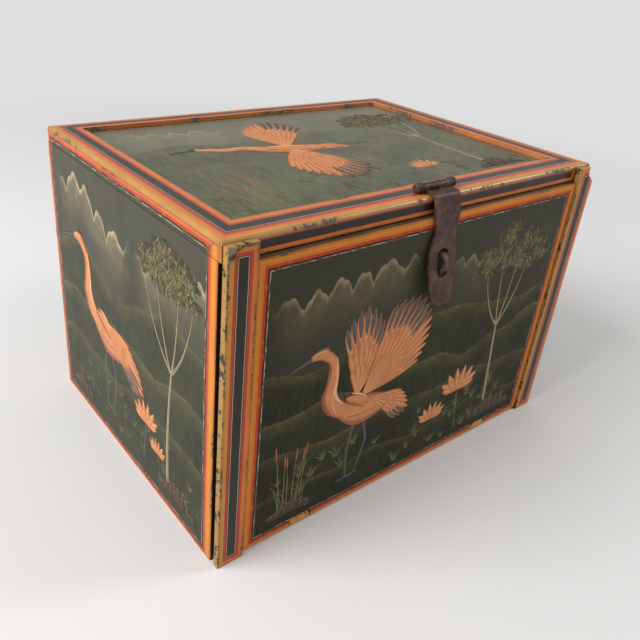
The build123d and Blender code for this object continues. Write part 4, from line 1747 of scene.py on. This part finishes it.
@dataclass
class Studio:
    """Floor, light and camera."""

    floor_colour: Colour = (0.74, 0.735, 0.73)
    backdrop: Colour = (0.735, 0.745, 0.745)
    daylight: Colour = (1.0, 0.985, 0.96)
    daylight_strength: float = 0.48
    floor_size: float = 30.0
    lamp_aim: Triple = (0.0, 0.0, 0.12)
    camera_place: Triple = (-0.36970, -0.41710, 0.39841)
    camera_right: Triple = (0.788081, -0.610404, 0.079596)
    camera_up: Triple = (0.228417, 0.410047, 0.882999)
    lens: float = 38.0019
    shift: Point = (0.03398, -0.03934)

    def build(self) -> None:
        """Sets up floor, world, lamps and camera."""
        self._floor()
        self._world()
        self._lamp("window", (-1.75, 0.35, 1.35), 1.5, 52.0)
        self._lamp("lamp", (1.35, -0.75, 1.15), 0.45, 9.0)
        self._camera()

    def _floor(self) -> None:
        """Lays a wide pale floor."""
        shape = bmesh.new()
        bmesh.ops.create_grid(shape, x_segments=1, y_segments=1, size=self.floor_size)
        mesh = bpy.data.meshes.new("studio_floor")
        shape.to_mesh(mesh)
        shape.free()
        mesh.materials.append(FloorPaper(self.floor_colour, self.backdrop).material("studio_paper"))
        floor = stand("studio_floor", mesh)

    def _world(self) -> None:
        """Adds even pale light from all round, and the backdrop's own colour for the camera."""
        world = bpy.data.worlds.new("studio_world")
        graph = Graph(world)
        inputs = {"Color": self.daylight, "Strength": self.daylight_strength}
        even = graph.node("ShaderNodeBackground", None, inputs)
        behind = graph.node("ShaderNodeBackground", None, {"Color": self.backdrop})
        seen = graph.node("ShaderNodeLightPath").outputs["Is Camera Ray"]
        chosen = graph.node("ShaderNodeMixShader", None, {0: seen, 1: even.outputs[0], 2: behind.outputs[0]})
        graph.node("ShaderNodeOutputWorld", None, {0: chosen.outputs[0]})
        bpy.context.scene.world = world

    def _lamp(self, name: str, place: Triple, size: float, power: float) -> None:
        """Hangs a square soft lamp aimed at the box.

        Args:
            name: its name.
            place: where it hangs.
            size: the length of its side.
            power: its power in watts.
        """
        light = bpy.data.lights.new(name, "AREA")
        light.size = size
        light.energy = power
        aim = Vector(self.lamp_aim) - Vector(place)
        lamp = stand(name, light)
        lamp.matrix_world = Matrix.Translation(place) @ aim.to_track_quat("-Z", "Y").to_matrix().to_4x4()

    def _camera(self) -> None:
        """Sets up the camera of the main view."""
        data = bpy.data.cameras.new("main_camera")
        data.sensor_width = 36.0
        data.lens = self.lens
        data.shift_x, data.shift_y = self.shift
        right, up = Vector(self.camera_right), Vector(self.camera_up)
        turn = Matrix((right, up, right.cross(up))).transposed().to_4x4()
        camera = stand("main_camera", data)
        camera.matrix_world = Matrix.Translation(self.camera_place) @ turn
        bpy.context.scene.camera = camera


def main() -> None:
    """Builds everything."""
    logging.basicConfig(level=logging.INFO, format="%(message)s")
    bpy.context.scene.view_settings.view_transform = "Standard"
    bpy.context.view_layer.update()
    for part in (Back(), Carcase(), Ironwork(), FallFront(), Sides(), Lid(), Studio()):
        LOG.info("building %s", type(part).__name__)
        part.build()


if __name__ == "__main__":
    main()
